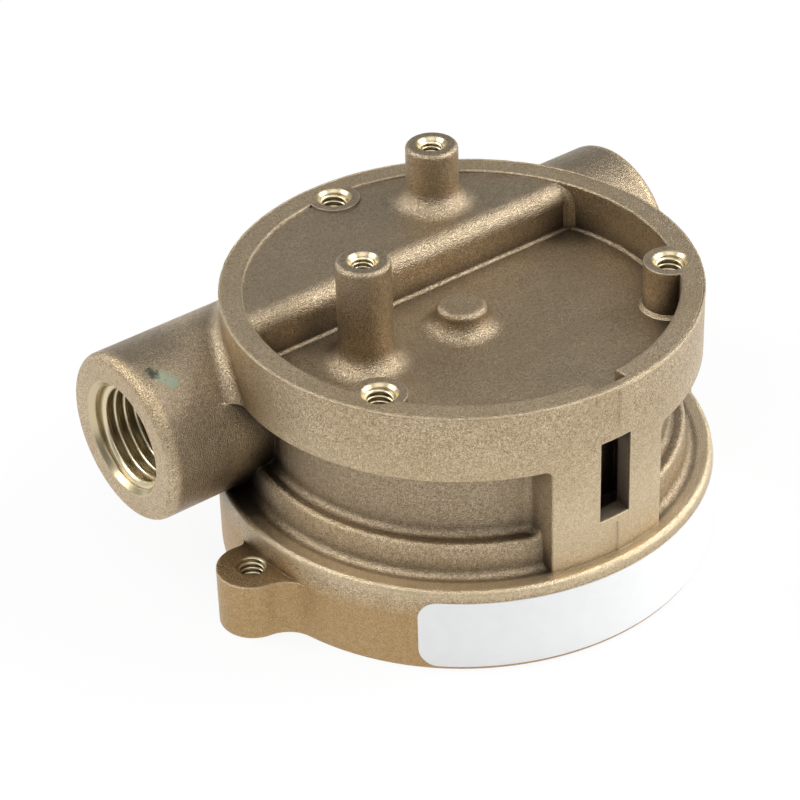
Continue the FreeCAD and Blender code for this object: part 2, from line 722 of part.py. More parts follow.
def cut_ports(body):
    sketch = new_sketch(body, "channel_outline", "YZ_Plane")
    add_circle(sketch, S["channel_radius"], S["port_offset"], S["port_height"])
    pocket(body, "channel", sketch, S["port_reach"] * 2, both_ways=True)
    for side, inwards in (("near", True), ("far", False)):
        face = -S["port_reach"] if inwards else S["port_reach"]
        sketch = new_sketch(body, f"{side}_thread_outline", "YZ_Plane", lift=face)
        add_circle(sketch, S["port_thread_radius"], S["port_offset"], S["port_height"])
        pocket(body, f"{side}_thread", sketch, S["port_thread_depth"], upwards=inwards)
    sketch = new_sketch(body, "adapter_seat_outline", "YZ_Plane", lift=PORT_SHOULDER)
    seat_radius = S["adapter_flange_radius"] + S["adapter_clearance"]
    add_circle(sketch, seat_radius, S["port_offset"], S["port_height"])
    pocket(body, "adapter_seat", sketch, S["adapter_flange_length"])

    def mouth(edge):
        curve = edge.Curve
        return (
            isinstance(curve, Part.Circle)
            and abs(curve.Radius - S["port_thread_radius"].number) < TOLERANCE
            and abs(abs(curve.Center.x) - S["port_reach"].number) < TOLERANCE
        )

    chamfer(body, "port_mouths", mouth, S["port_mouth_chamfer"])


# Casting: tapped holes and cable exit


def drill_holes(body):
    sketch = new_sketch(body, "rim_hole_outline", "XY_Plane", lift=RIM_TOP)
    add_circle(sketch, S["rim_hole_radius"], ZERO, RIM_HOLE_CIRCLE)
    hole = pocket(body, "rim_hole", sketch, S["rim_hole_depth"])
    polar(body, "rim_holes", [hole], 3, False)
    mouth = round_at(S["rim_hole_radius"], RIM_TOP)
    chamfer(body, "rim_hole_mouths", mouth, S["rim_hole_chamfer"])

    sketch = new_sketch(body, "ear_hole_outline", "XY_Plane", lift=S["ear_height"])
    add_circle(sketch, S["ear_hole_radius"], EAR_REACH)
    hole = pocket(body, "ear_hole", sketch, S["ear_height"])
    polar(body, "ear_holes", [hole], 2, False)


def cut_cable_exit(body):
    outside = S["rim_radius"] + S["slot_wall"]
    wall_inside = S["rim_radius"] - S["slot_wall"]
    sketch = new_sketch(body, "slot_outline", "XZ_Plane", lift=outside)
    add_box(sketch, SLOT_LEFT, SLOT_RIGHT, SLOT_BOTTOM, SLOT_TOP)
    pocket(body, "slot", sketch, outside - wall_inside + S["pocket_depth"] / 2)

    pocket_left = S["slot_centre"] - S["pocket_width"] / 2
    pocket_right = S["slot_centre"] + S["pocket_width"] / 2
    pocket_floor = SLOT_BOTTOM - S["pocket_sill"]
    sketch = new_sketch(body, "pocket_outline", "XZ_Plane", lift=wall_inside)
    pocket_top = (FLOOR + RIM_TOP) / 2
    add_box(sketch, pocket_left, pocket_right, pocket_floor, pocket_top)
    pocket(body, "pocket", sketch, S["pocket_depth"])

    sketch = new_sketch(body, "rim_notch_outline", "XY_Plane", lift=RIM_TOP)
    notch_outside = S["rim_skin"] - S["rim_radius"]
    add_box(sketch, SLOT_LEFT, SLOT_RIGHT, notch_outside, -wall_inside + S["pocket_depth"])
    pocket(body, "rim_notch", sketch, S["recess_depth"])


def make_casting():
    body = new_body("body_casting")
    make_rim_band(body)
    add_flange(body)
    add_ears(body)
    add_cable_block(body)
    round_ledges(body)
    restore_bosses(body)
    cut_recess(body)
    add_rim_bosses(body)
    add_post(body, "near_post", S["near_post_x"], S["near_post_y"], FLOOR)
    add_post(body, "far_post", S["far_post_x"], S["far_post_y"], PLATEAU)
    finish_post_tops(body)
    add_pin_boss(body)
    cut_wet_side(body)
    cut_bayonet(body)
    cut_ports(body)
    drill_holes(body)
    cut_cable_exit(body)
    return body


# Window with its seal


def make_lens():
    body = new_body("lens")
    back = PLATE_BACK
    shoulder = S["chamber_mouth"] - S["window_shoulder_gap"]
    nose_radius = S["chamber_radius"] - S["window_clearance"] * 2
    groove_back = S["seal_groove_front"] + S["seal_groove_width"]
    groove_floor = WINDOW_BORE_RADIUS - S["seal_section"] * 2 - S["seal_clearance"] * 2
    sketch = new_sketch(body, "lens_profile", "XZ_Plane")
    corners = [
        (ZERO, PLATE_FRONT),
        (CUP_RADIUS, PLATE_FRONT),
        (CUP_RADIUS, S["window_front"]),
        (WINDOW_RADIUS, S["window_front"]),
        (WINDOW_RADIUS, S["seal_groove_front"]),
        (groove_floor, S["seal_groove_front"]),
        (groove_floor, groove_back),
        (WINDOW_RADIUS, groove_back),
        (WINDOW_RADIUS, shoulder),
        (nose_radius, shoulder),
        (nose_radius, back),
        (S["bearing_boss_radius"], back),
        (S["bearing_boss_radius"], FRONT_BEARING),
        (PIN_SEAT_RADIUS, FRONT_BEARING),
        (PIN_SEAT_RADIUS, FRONT_SEAT_END),
        (ZERO, FRONT_SEAT_END),
    ]
    add_outline(sketch, corners)
    revolve(body, "lens_turned", sketch)

    lug_bottom = S["bayonet_lip"] + S["lug_gap"]
    lug_radius = GROOVE_RADIUS - S["window_clearance"] * 2
    sketch = new_sketch(body, "lug_profile", "XZ_Plane", turn=LUG_LOCKED_ANGLE)
    inner = (CUP_RADIUS + WINDOW_RADIUS) / 2
    add_box(sketch, inner, lug_radius, lug_bottom, lug_bottom + S["lug_height"])
    angle = S["bayonet_notch_angle"] - S["lug_clearance_angle"] * 2
    lug = revolve(body, "lug", sketch, angle=angle, midplane=True)
    polar(body, "lugs", [lug], 3, True)

    front = S["window_front"] + S["grip_recess"]
    sketch = new_sketch(body, "grip_outline", "XY_Plane", lift=front)
    half = S["grip_width"] / 2
    add_box(sketch, CUP_RADIUS - S["grip_length"], inner, -half, half)
    height = (PLATE_FRONT + back) / 2 - front
    grip = pad(body, "grip", sketch, height)
    polar(body, "grips", [grip], 2, True)
    return body


def make_seal():
    torus = DOCUMENT.addObject("Part::Torus", "lens_o_ring")
    torus.Label = "lens_o_ring"
    ring_radius = WINDOW_BORE_RADIUS - S["seal_section"] - S["seal_clearance"]
    middle = S["seal_groove_front"] + S["seal_groove_width"] / 2
    bind(torus, Radius1=ring_radius, Radius2=S["seal_section"], Placement__Base__z=middle)
    return torus


# Rotor with its pin and magnets


def make_rotor():
    body = new_body("rotor")
    front = FRONT_BEARING + S["rotor_end_play"]
    back = REAR_BEARING - S["rotor_end_play"]
    bore = S["pin_radius"] + S["rotor_running_gap"]
    web_front = (VANE_FRONT + VANE_BACK - S["web_thickness"]) / 2
    web_back = web_front + S["web_thickness"]
    sketch = new_sketch(body, "hub_profile", "XZ_Plane")
    corners = [
        (bore, front),
        (S["hub_radius"], front),
        (S["hub_radius"], web_front),
        (S["web_radius"], web_front),
        (S["web_radius"], web_back),
        (S["hub_radius"], web_back),
        (S["hub_radius"], back),
        (bore, back),
    ]
    add_outline(sketch, corners)
    revolve(body, "hub", sketch)

    depth = VANE_BACK - VANE_FRONT
    half = S["vane_thickness"] / 2
    sketch = new_sketch(body, "vane_outline", "XY_Plane", lift=VANE_FRONT)
    add_box(sketch, (bore + S["hub_radius"]) / 2, VANE_RADIUS, -half, half)
    vane = pad(body, "vane", sketch, depth)
    sketch = new_sketch(body, "barrel_outline", "XY_Plane", lift=VANE_FRONT)
    barrel_radius = S["magnet_radius"] + S["magnet_barrel_wall"]
    add_circle(sketch, barrel_radius, MAGNET_CIRCLE)
    barrel = pad(body, "barrel", sketch, depth)
    sketch = new_sketch(body, "magnet_seat_outline", "XY_Plane", lift=VANE_BACK)
    add_circle(sketch, S["magnet_radius"], MAGNET_CIRCLE)
    seat = pocket(body, "magnet_seat", sketch, S["magnet_length"])
    polar(body, "vanes", [vane, barrel, seat], S["vane_count"], True)
    return body


def make_magnets():
    """Six identical magnets, one in the rear end of each vane's barrel."""
    magnets = []
    step = as_size(360.0) / S["vane_count"]
    for index in range(int(S["vane_count"].number)):
        magnet = DOCUMENT.addObject("Part::Cylinder", f"magnet_{index + 1}")
        angle = step * index
        bind(
            magnet,
            Radius=S["magnet_radius"],
            Height=S["magnet_length"],
            Placement__Base__x=MAGNET_CIRCLE * cosine(angle),
            Placement__Base__y=MAGNET_CIRCLE * sine(angle),
            Placement__Base__z=VANE_BACK - S["magnet_length"],
        )
        magnets.append(magnet)
    group = DOCUMENT.addObject("Part::Compound", "rotor_magnets")
    group.Label = "rotor_magnets"
    group.Links = magnets
    return group


def make_pin():
    body = new_body("rotor_pin")
    start = FRONT_SEAT_END + S["pin_end_gap"]
    end = REAR_SEAT_END - S["pin_end_gap"]
    sketch = new_sketch(body, "pin_outline", "XY_Plane", lift=start)
    add_circle(sketch, S["pin_radius"])
    pad(body, "pin", sketch, end - start)
    first = round_at(S["pin_radius"], start)
    last = round_at(S["pin_radius"], end)
    chamfer(body, "pin_ends", lambda edge: first(edge) or last(edge), S["pin_chamfer"])
    return body


# Low-flow adapter in the far port


def make_adapter():
    body = new_body("low_flow_adapter")
    sketch = new_sketch(
        body, "adapter_profile", "XZ_Plane", y=S["port_height"], lift=-S["port_offset"]
    )
    seat = PORT_SHOULDER - S["adapter_flange_length"]
    tube_end = PORT_SHOULDER - S["adapter_length"]
    tube_radius = S["channel_radius"] - S["adapter_clearance"]
    funnel_end = PORT_SHOULDER - S["adapter_funnel_length"]
    corners = [
        (PORT_SHOULDER, S["adapter_funnel_radius"]),
        (PORT_SHOULDER, S["adapter_flange_radius"]),
        (seat, S["adapter_flange_radius"]),
        (seat, tube_radius),
        (tube_end, tube_radius),
        (tube_end, S["adapter_jet_radius"]),
        (funnel_end, S["adapter_jet_radius"]),
    ]
    add_outline(sketch, corners)
    revolve(body, "adapter_turned", sketch, axis="H_Axis")
    return body


# Label on the flange


def make_label():
    body = new_body("label")
    middle = S["label_start_angle"] + S["label_sweep_angle"] / 2
    sketch = new_sketch(body, "label_profile", "XZ_Plane", turn=middle)
    outside = S["flange_radius"] + S["label_thickness"]
    top = S["flange_height"] - S["label_headroom"]
    add_box(sketch, S["flange_radius"], outside, S["label_bottom"], top)
    revolve(body, "label_film", sketch, angle=S["label_sweep_angle"], midplane=True)

    def film_corner(edge):
        return abs(edge.Length - S["label_thickness"].number) < TOLERANCE

    fillet(body, "label_corners", film_corner, S["label_corner"])
    return body


def check_and_write(parts):
    """Stop if anything failed, then write one file for each piece."""
    DOCUMENT.recompute()
    for item in DOCUMENT.Objects:
        if "Invalid" in item.State or "Error" in item.State:
            raise RuntimeError(f"{item.Name} failed: {item.State}")
    os.makedirs("parts", exist_ok=True)
    for item in parts:
        shape = item.Shape
        if shape.isNull() or not shape.isValid():
            raise RuntimeError(f"{item.Label} has no valid shape")
        shape.exportStep(f"parts/{item.Label}.step")
        print(item.Label, "solids", len(shape.Solids), "volume", round(shape.Volume, 2))


PARTS = [
    make_casting(),
    make_lens(),
    make_seal(),
    make_rotor(),
    make_magnets(),
    make_pin(),
    make_adapter(),
    make_label(),
]
check_and_write(PARTS)
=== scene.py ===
import math

import bmesh
import bpy
from mathutils import Matrix, Vector, noise


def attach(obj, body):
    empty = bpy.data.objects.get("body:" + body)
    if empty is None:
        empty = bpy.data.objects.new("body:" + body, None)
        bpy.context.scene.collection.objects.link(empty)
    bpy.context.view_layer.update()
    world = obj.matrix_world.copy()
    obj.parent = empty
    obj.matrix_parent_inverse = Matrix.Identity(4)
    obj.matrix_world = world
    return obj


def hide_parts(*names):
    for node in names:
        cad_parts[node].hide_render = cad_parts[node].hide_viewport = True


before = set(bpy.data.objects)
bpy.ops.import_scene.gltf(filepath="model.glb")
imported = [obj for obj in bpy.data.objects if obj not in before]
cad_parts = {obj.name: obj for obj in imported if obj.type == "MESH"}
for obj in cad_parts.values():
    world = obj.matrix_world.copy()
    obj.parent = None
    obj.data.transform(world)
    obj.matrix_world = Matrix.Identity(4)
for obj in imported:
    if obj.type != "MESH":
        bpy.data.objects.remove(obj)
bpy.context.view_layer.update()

# %% [markdown]
# # An in-line flow indicator
# The object is a sand-cast bronze body with two threaded ports, lying on its window side. The solids
# come from the CAD frame with their real sizes, so this script adds what they lack: the ridges of the
# threads, the marks that the mould leaves, softened edges on the moulded pieces, and the finish of
# each material. The frame is in metres. Drawings are in millimetres, so one constant turns the one
# into the other.

# %% Units and shared places
MM = 0.001
IMAGE = 800
PORT_Y = 16.0
PORT_Z = 20.0
PORT_FACE = 38.4
RIM_RADIUS = 28.5
RIM_TOP = 34.1
RECESS_RADIUS = 25.6
RECESS_FLOOR = 27.95
POST_TOP = 41.5
EAR_TOP = 7.6
RIM_HOLE_CIRCLE = 24.95
RIM_HOLE_ANGLES = (90, 210, 330)
RIM_HOLES = [(RIM_HOLE_CIRCLE * math.cos(math.radians(a)), RIM_HOLE_CIRCLE * math.sin(math.radians(a)))
             for a in RIM_HOLE_ANGLES]
POST_HOLES = [(-13.15, 1.35), (9.4, 17.3)]
EAR_HOLE_X = 31.9
EAR_HOLES = [(EAR_HOLE_X, 0.0), (-EAR_HOLE_X, 0.0)]
print("CAD nodes:", sorted(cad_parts))

# %% [markdown]
# ## Camera
# A photograph fixes where its camera stood: the rim, the holes and the port mouths give enough circles
# to solve for it. A camera could also be set by eye, but then no edge would lie quite over the
# photograph's. The long lens (about 132 mm) keeps parallel edges nearly parallel. A tiny roll comes
# from the way the object was set down.

# %% Camera at the photograph's place
AZIMUTH = math.radians(-36.7764)
ELEVATION = math.radians(34.4788)
ROLL = math.radians(-1.7959)
FOCAL_LENGTH = 2931.549  # pixels
AWAY, LEFT, ABOVE = 362.7894, 8.0668, 14.0638
back = Vector((
    math.sin(AZIMUTH) * math.cos(ELEVATION),
    -math.cos(AZIMUTH) * math.cos(ELEVATION),
    math.sin(ELEVATION),
))
level_right = Vector((math.cos(AZIMUTH), math.sin(AZIMUTH), 0))
level_up = back.cross(level_right)
right = level_right * math.cos(ROLL) + level_up * math.sin(ROLL)
up = level_up * math.cos(ROLL) - level_right * math.sin(ROLL)

camera_data = bpy.data.cameras.new("camera")
camera_data.sensor_width = 36.0
camera_data.lens = FOCAL_LENGTH * camera_data.sensor_width / IMAGE
camera_data.clip_start = 0.01
camera_data.clip_end = 20.0
camera = bpy.data.objects.new("camera", camera_data)
bpy.context.scene.collection.objects.link(camera)
place = (back * AWAY - right * LEFT + up * ABOVE) * MM
camera.matrix_world = Matrix.Translation(place) @ Matrix((right, up, back)).transposed().to_4x4()
bpy.context.scene.camera = camera
print("camera at", [round(c, 3) for c in place], "lens", round(camera_data.lens, 1))

# %% [markdown]
# ## Colours and nodes
# Colours are picked as sRGB hex values, and the renderer works in linear light, so one function turns
# the one into the other. A second one adds a node, sets it and links it in one line, which keeps a
# material readable from top to bottom.

# %% Helpers for colours and nodes


def linear(code):
    """The linear RGBA values of an sRGB hex code."""
    channels = [int(code[i:i + 2], 16) / 255 for i in (1, 3, 5)]
    return [c / 12.92 if c <= 0.04045 else ((c + 0.055) / 1.055) ** 2.4 for c in channels] + [1.0]


def add_node(tree, kind, inputs=None, **settings):
    """Add a node. A value that is a node's output is linked, and any other is set."""
    node = tree.nodes.new(kind)
    for name, value in settings.items():
        setattr(node, name, value)
    for name, value in (inputs or {}).items():
        if isinstance(value, bpy.types.NodeSocket):
            tree.links.new(value, node.inputs[name])
        else:
            node.inputs[name].default_value = value
    return node


def new_material(name):
    """An empty material, its tree, its output node and the place on the object in millimetres."""
    material = bpy.data.materials.new(name)
    material.use_nodes = True
    tree = material.node_tree
    tree.nodes.clear()
    output = tree.nodes.new("ShaderNodeOutputMaterial")
    place_node = tree.nodes.new("ShaderNodeTexCoord")
    millimetres = add_node(tree, "ShaderNodeVectorMath", {0: place_node.outputs["Object"],
                                                          1: (1000, 1000, 1000)}, operation="MULTIPLY")
    return material, tree, output, millimetres.outputs[0]


print("bronze tan in linear light:", [round(c, 3) for c in linear("#b09876")])

# %% [markdown]
# ## Floor
# The photograph was taken in a light tent and cut out on white. Here the floor is a wide pale sheet.
# What the camera, reflections and glass see of it is mostly a plain white, with a little of its real
# shading left in, so that the object keeps a faint contact shadow. A brighter lamp would whiten it too,
# but would bleach the object. The sheet is clear from below, so the window can be looked at from under
# the object.

# %% Floor
bm = bmesh.new()
bmesh.ops.create_grid(bm, x_segments=1, y_segments=1, size=1.5)
floor_mesh = bpy.data.meshes.new("floor")
bm.to_mesh(floor_mesh)
bm.free()
floor = bpy.data.objects.new("floor", floor_mesh)
floor.location.z = -0.00002
bpy.context.scene.collection.objects.link(floor)

material = bpy.data.materials.new("white sweep")
material.use_nodes = True
tree = material.node_tree
tree.nodes.clear()
output = tree.nodes.new("ShaderNodeOutputMaterial")
paper = add_node(tree, "ShaderNodeBsdfDiffuse", {"Color": (0.86, 0.86, 0.86, 1)})
glow = add_node(tree, "ShaderNodeEmission", {"Color": (1, 1, 1, 1), "Strength": 1.0})
rays = tree.nodes.new("ShaderNodeLightPath")
seen = add_node(tree, "ShaderNodeMath", {0: rays.outputs["Is Camera Ray"], 1: rays.outputs["Is Glossy Ray"]},
                operation="MAXIMUM")
seen = add_node(tree, "ShaderNodeMath", {0: seen.outputs[0], 1: rays.outputs["Is Transmission Ray"]},
                operation="MAXIMUM")
share = add_node(tree, "ShaderNodeMath", {0: seen.outputs[0], 1: 0.9}, operation="MULTIPLY")
mix = add_node(tree, "ShaderNodeMixShader", {"Fac": share.outputs[0], 1: paper.outputs[0],
                                             2: glow.outputs[0]})
side = tree.nodes.new("ShaderNodeNewGeometry")
clear_below = tree.nodes.new("ShaderNodeBsdfTransparent")
mix = add_node(tree, "ShaderNodeMixShader", {"Fac": side.outputs["Backfacing"], 1: mix.outputs[0],
                                             2: clear_below.outputs[0]})
tree.links.new(mix.outputs[0], output.inputs["Surface"])
floor_mesh.materials.append(material)
print("floor", [round(d, 2) for d in floor.dimensions])

# %% [markdown]
# ## Light
# Bare metal looks like what it mirrors: its upright sides mirror the white sheet and its flat tops
# mirror the dimmer walls of the tent. So the world is a good deal darker than the sheet, and darkest in
# front, where the camera stands in the opening of the tent. Two soft boxes, one at each side of the
# view, draw the bright streaks on every rounded foot and lip. A weak lamp over the camera fills in.

# %% Lamps and world


def add_lamp(name, azimuth, elevation, distance, size, power):
    """A square soft lamp that looks at the object's middle."""
    lamp = bpy.data.lights.new(name, "AREA")
    lamp.size = size
    lamp.energy = power
    item = bpy.data.objects.new(name, lamp)
    a, e = math.radians(azimuth), math.radians(elevation)
    direction = Vector((math.sin(a) * math.cos(e), -math.cos(a) * math.cos(e), math.sin(e)))
    item.location = direction * distance + Vector((0, 0, 0.017))
    item.rotation_euler = direction.to_track_quat("Z", "Y").to_euler()
    bpy.context.scene.collection.objects.link(item)
    print(name, "lamp", power, "W")


add_lamp("left box", azimuth=-130, elevation=42, distance=0.5, size=0.3, power=1.5)
add_lamp("right box", azimuth=60, elevation=36, distance=0.5, size=0.4, power=2.25)
add_lamp("over the camera", azimuth=-35, elevation=56, distance=0.5, size=0.4, power=0.75)

world = bpy.data.worlds.new("tent")
world.use_nodes = True
tree = world.node_tree
sky = tree.nodes.new("ShaderNodeTexCoord")
toward_opening = add_node(tree, "ShaderNodeVectorMath", {0: sky.outputs["Generated"],
                                                         1: (-0.836, -0.483, 0.26)}, operation="DOT_PRODUCT")
strength = add_node(tree, "ShaderNodeMapRange", {"Value": toward_opening.outputs["Value"], "From Min": -0.2,
                                                 "From Max": 0.85, "To Min": 0.38, "To Max": 0.22})
background = tree.nodes["Background"]
background.inputs["Color"].default_value = (0.97, 1.0, 1.04, 1)
tree.links.new(strength.outputs[0], background.inputs["Strength"])
bpy.context.scene.world = world
bpy.context.scene.view_settings.view_transform = "Standard"

# %% [markdown]
# ## Sand-cast bronze
# The body is poured into a sand mould, so its skin is a print of the sand: grains of a sixth of a
# millimetre, clumps of half a millimetre, and a slow roll over a few millimetres. Real geometry for
# each grain would need millions of faces, so noises drive a bump. The bump carries nearly all of the
# look, because the alloy has one colour and each grain only tips the mirror a little. The colour ramp
# stays narrow: dull bronze in the pits, rubbed bronze on the tips. A slow noise shifts the tone.

# %% Skin of sand grains
GRAIN, CLUMP, SWELL, PATCH = 0.16, 0.5, 3.2, 8.0
bronze, tree, output, mm = new_material("sand_cast_bronze")
grain = add_node(tree, "ShaderNodeTexNoise", {"Vector": mm, "Scale": 1 / GRAIN, "Detail": 1.5,
                                              "Roughness": 0.6})
clumps = add_node(tree, "ShaderNodeTexNoise", {"Vector": mm, "Scale": 1 / CLUMP, "Detail": 2.0,
                                               "Roughness": 0.5})
roll = add_node(tree, "ShaderNodeTexNoise", {"Vector": mm, "Scale": 1 / SWELL, "Detail": 1.0})
tone = add_node(tree, "ShaderNodeTexNoise", {"Vector": mm, "Scale": 1 / PATCH, "Detail": 3.0,
                                             "Roughness": 0.6})
skin = add_node(tree, "ShaderNodeMix", {0: 0.25, 2: grain.outputs["Fac"], 3: clumps.outputs["Fac"]},
                data_type="FLOAT")
cast_colour = add_node(tree, "ShaderNodeValToRGB", {"Fac": skin.outputs[0]})
ramp = cast_colour.color_ramp
ramp.elements[0].position, ramp.elements[0].color = 0.34, linear("#917f67")
ramp.elements[1].position, ramp.elements[1].color = 0.66, linear("#ebd8b8")
ramp.elements.new(0.48).color = linear("#c0aa8a")
patches = add_node(tree, "ShaderNodeMapRange", {"Value": tone.outputs["Fac"], "From Min": 0.36,
                                                "From Max": 0.66, "To Min": 0.0, "To Max": 0.3})
colour = add_node(tree, "ShaderNodeMix", {0: patches.outputs[0], 6: cast_colour.outputs[0],
                                          7: linear("#a9926c")}, data_type="RGBA").outputs[2]
print("skin ramp", [round(e.position, 2) for e in ramp.elements], "grain", GRAIN, "mm")

# %% [markdown]
# The flange is handled most and has lost its dull skin, so it is a little more golden than the rest.
# A grey film covers the ports and what lies inside the rim, and lies thickest where ambient occlusion finds
# the shape sheltered: partly oxide, partly a painted shade where less light reaches. Painting these by hand
# would need an unwrapped body, so height, distance from the axis and ambient occlusion find them. The front
# of the rim and block is kept clear of the film, and the front of the block is painted lighter, a painted
# light.

# %% Golden flange, grey film with painted shade, and painted light on the block
SHELTER = 5.5
axes = add_node(tree, "ShaderNodeSeparateXYZ", {"Vector": mm})
low = add_node(tree, "ShaderNodeMapRange", {"Value": axes.outputs["Z"], "From Min": 9.5, "From Max": 7.0,
                                            "To Min": 0.0, "To Max": 0.7})
colour = add_node(tree, "ShaderNodeMix", {0: low.outputs[0], 6: colour, 7: linear("#b38f5b")},
                  data_type="RGBA").outputs[2]
open_sky = add_node(tree, "ShaderNodeAmbientOcclusion", {"Distance": SHELTER * MM}, samples=8,
                    only_local=True)
# Partly painted shade: ambient occlusion lays the grey film inside the rim and on the ports, darkening where
# less light reaches.
oxide_and_painted_shade = add_node(tree, "ShaderNodeMapRange", {"Value": open_sky.outputs["AO"], "From Min": 0.95,
                                                  "From Max": 0.5, "To Min": 0.0, "To Max": 0.8})
from_axis = add_node(tree, "ShaderNodeVectorMath", {0: mm, 1: (1, 1, 0)}, operation="MULTIPLY")
from_axis = add_node(tree, "ShaderNodeVectorMath", {0: from_axis.outputs[0]},
                     operation="LENGTH").outputs["Value"]
outer = add_node(tree, "ShaderNodeMapRange", {"Value": from_axis, "From Min": 28.1, "From Max": 28.4})
front = add_node(tree, "ShaderNodeMapRange", {"Value": axes.outputs["Y"], "From Min": 4.0, "From Max": 0.0})
front_outside = add_node(tree, "ShaderNodeMath", {0: outer.outputs[0], 1: front.outputs[0]}, operation="MULTIPLY")
kept = add_node(tree, "ShaderNodeMath", {0: front_outside.outputs[0], 1: -0.8, 2: 1.0}, operation="MULTIPLY_ADD")
oxide_and_painted_shade = add_node(tree, "ShaderNodeMath", {0: oxide_and_painted_shade.outputs[0], 1: kept.outputs[0]},
                     operation="MULTIPLY")
within_rim = add_node(tree, "ShaderNodeMapRange", {"Value": from_axis, "From Min": 26.2, "From Max": 25.4,
                                                   "To Max": 0.34})
oxide_and_painted_shade = add_node(tree, "ShaderNodeMath", {0: oxide_and_painted_shade.outputs[0], 1: within_rim.outputs[0]},
                     operation="MAXIMUM")
sideways = add_node(tree, "ShaderNodeMath", {0: axes.outputs["X"]}, operation="ABSOLUTE")
on_port = add_node(tree, "ShaderNodeMapRange", {"Value": sideways.outputs[0], "From Min": 27.5,
                                                "From Max": 31.0, "To Max": 0.45})
mouth = add_node(tree, "ShaderNodeMapRange", {"Value": sideways.outputs[0], "From Min": 36.6,
                                              "From Max": 38.2})
on_port = add_node(tree, "ShaderNodeMath", {0: on_port.outputs[0], 1: mouth.outputs[0]}, operation="SUBTRACT",
                   use_clamp=True)
high = add_node(tree, "ShaderNodeMapRange", {"Value": axes.outputs["Z"], "From Min": 8.5, "From Max": 10.0})
on_port = add_node(tree, "ShaderNodeMath", {0: on_port.outputs[0], 1: high.outputs[0]}, operation="MULTIPLY")
oxide_and_painted_shade = add_node(tree, "ShaderNodeMath", {0: oxide_and_painted_shade.outputs[0], 1: on_port.outputs[0]},
                     operation="MAXIMUM")
colour = add_node(tree, "ShaderNodeMix", {0: oxide_and_painted_shade.outputs[0], 6: colour, 7: linear("#776e62")},
                  data_type="RGBA").outputs[2]
# Painted light: the outside front, from the flange up towards the rim, is mixed towards a pale bronze.
painted_light_on_block = add_node(tree, "ShaderNodeMapRange", {"Value": axes.outputs["Z"], "From Min": 30.0, "From Max": 18.0,
                                              "To Max": 0.45})
above_flange = add_node(tree, "ShaderNodeMapRange", {"Value": axes.outputs["Z"], "From Min": 9.6,
                                                     "From Max": 10.8})
painted_light_on_block = add_node(tree, "ShaderNodeMath", {0: above_flange.outputs[0], 1: painted_light_on_block.outputs[0]},
                 operation="MULTIPLY")
painted_light_on_block = add_node(tree, "ShaderNodeMath", {0: front_outside.outputs[0], 1: painted_light_on_block.outputs[0]}, operation="MULTIPLY")
colour = add_node(tree, "ShaderNodeMix", {0: painted_light_on_block.outputs[0], 6: colour, 7: linear("#ecd9b6")},
                  data_type="RGBA").outputs[2]
print("shelter within", SHELTER, "mm")

# %% [markdown]
# Inside corners are painted dark: a painted shade where less light reaches them. The same ambient occlusion
# finds them, at lower values. The Bevel node does two jobs: its normal rounds each edge to the eye, and where
# it differs from the surface's own normal there is an edge, which is painted brighter if it stands proud:
# partly wear to brighter metal, partly a painted highlight.

# %% Painted shade in corners, and worn and highlit edges
EDGE_RADIUS = 0.32
# Painted shade: corners that ambient occlusion finds are mixed towards a dark brown.
painted_corner_shade = add_node(tree, "ShaderNodeMapRange", {"Value": open_sky.outputs["AO"], "From Min": 0.72,
                                               "From Max": 0.34, "To Min": 0.0, "To Max": 0.78})
colour = add_node(tree, "ShaderNodeMix", {0: painted_corner_shade.outputs[0], 6: colour, 7: linear("#40362a")},
                  data_type="RGBA").outputs[2]
rounded = add_node(tree, "ShaderNodeBevel", {"Radius": EDGE_RADIUS * MM}, samples=4)
surface = tree.nodes.new("ShaderNodeNewGeometry")
same = add_node(tree, "ShaderNodeVectorMath", {0: rounded.outputs[0], 1: surface.outputs["Normal"]},
                operation="DOT_PRODUCT")
edge = add_node(tree, "ShaderNodeMapRange", {"Value": same.outputs["Value"], "From Min": 0.985,
                                             "From Max": 0.86, "To Min": 0.0, "To Max": 0.85})
proud = add_node(tree, "ShaderNodeMapRange", {"Value": open_sky.outputs["AO"], "From Min": 0.8,
                                              "From Max": 0.95})
# Partly wear, partly painted highlight: proud edges are mixed towards a pale cream.
edge_wear_and_highlight = add_node(tree, "ShaderNodeMath", {0: edge.outputs[0], 1: proud.outputs[0]}, operation="MULTIPLY")
colour = add_node(tree, "ShaderNodeMix", {0: edge_wear_and_highlight.outputs[0], 6: colour, 7: linear("#eddcbc")},
                  data_type="RGBA").outputs[2]
print("edge radius", EDGE_RADIUS, "mm")

# %% [markdown]
# Near the mouth of one port the bronze has met water: a dark wet-looking spot with a pale green bloom of
# verdigris beside it. Distance from a point, made ragged by the clumps, draws each blot without an
# image. Verdigris is a mineral crust, not metal, so it takes the mirror away as well.

# %% Verdigris on the near port


def bloom(point, radius):
    """1 in a ragged blot about a point, 0 outside it."""
    away = add_node(tree, "ShaderNodeVectorMath", {0: mm, 1: point}, operation="DISTANCE")
    ragged = add_node(tree, "ShaderNodeMath", {0: clumps.outputs["Fac"], 1: 1.8, 2: away.outputs["Value"]},
                      operation="MULTIPLY_ADD")
    blot = add_node(tree, "ShaderNodeMapRange", {"Value": ragged.outputs[0], "From Min": radius + 1.25,
                                                 "From Max": radius + 0.55, "To Max": 0.9})
    return blot.outputs[0]


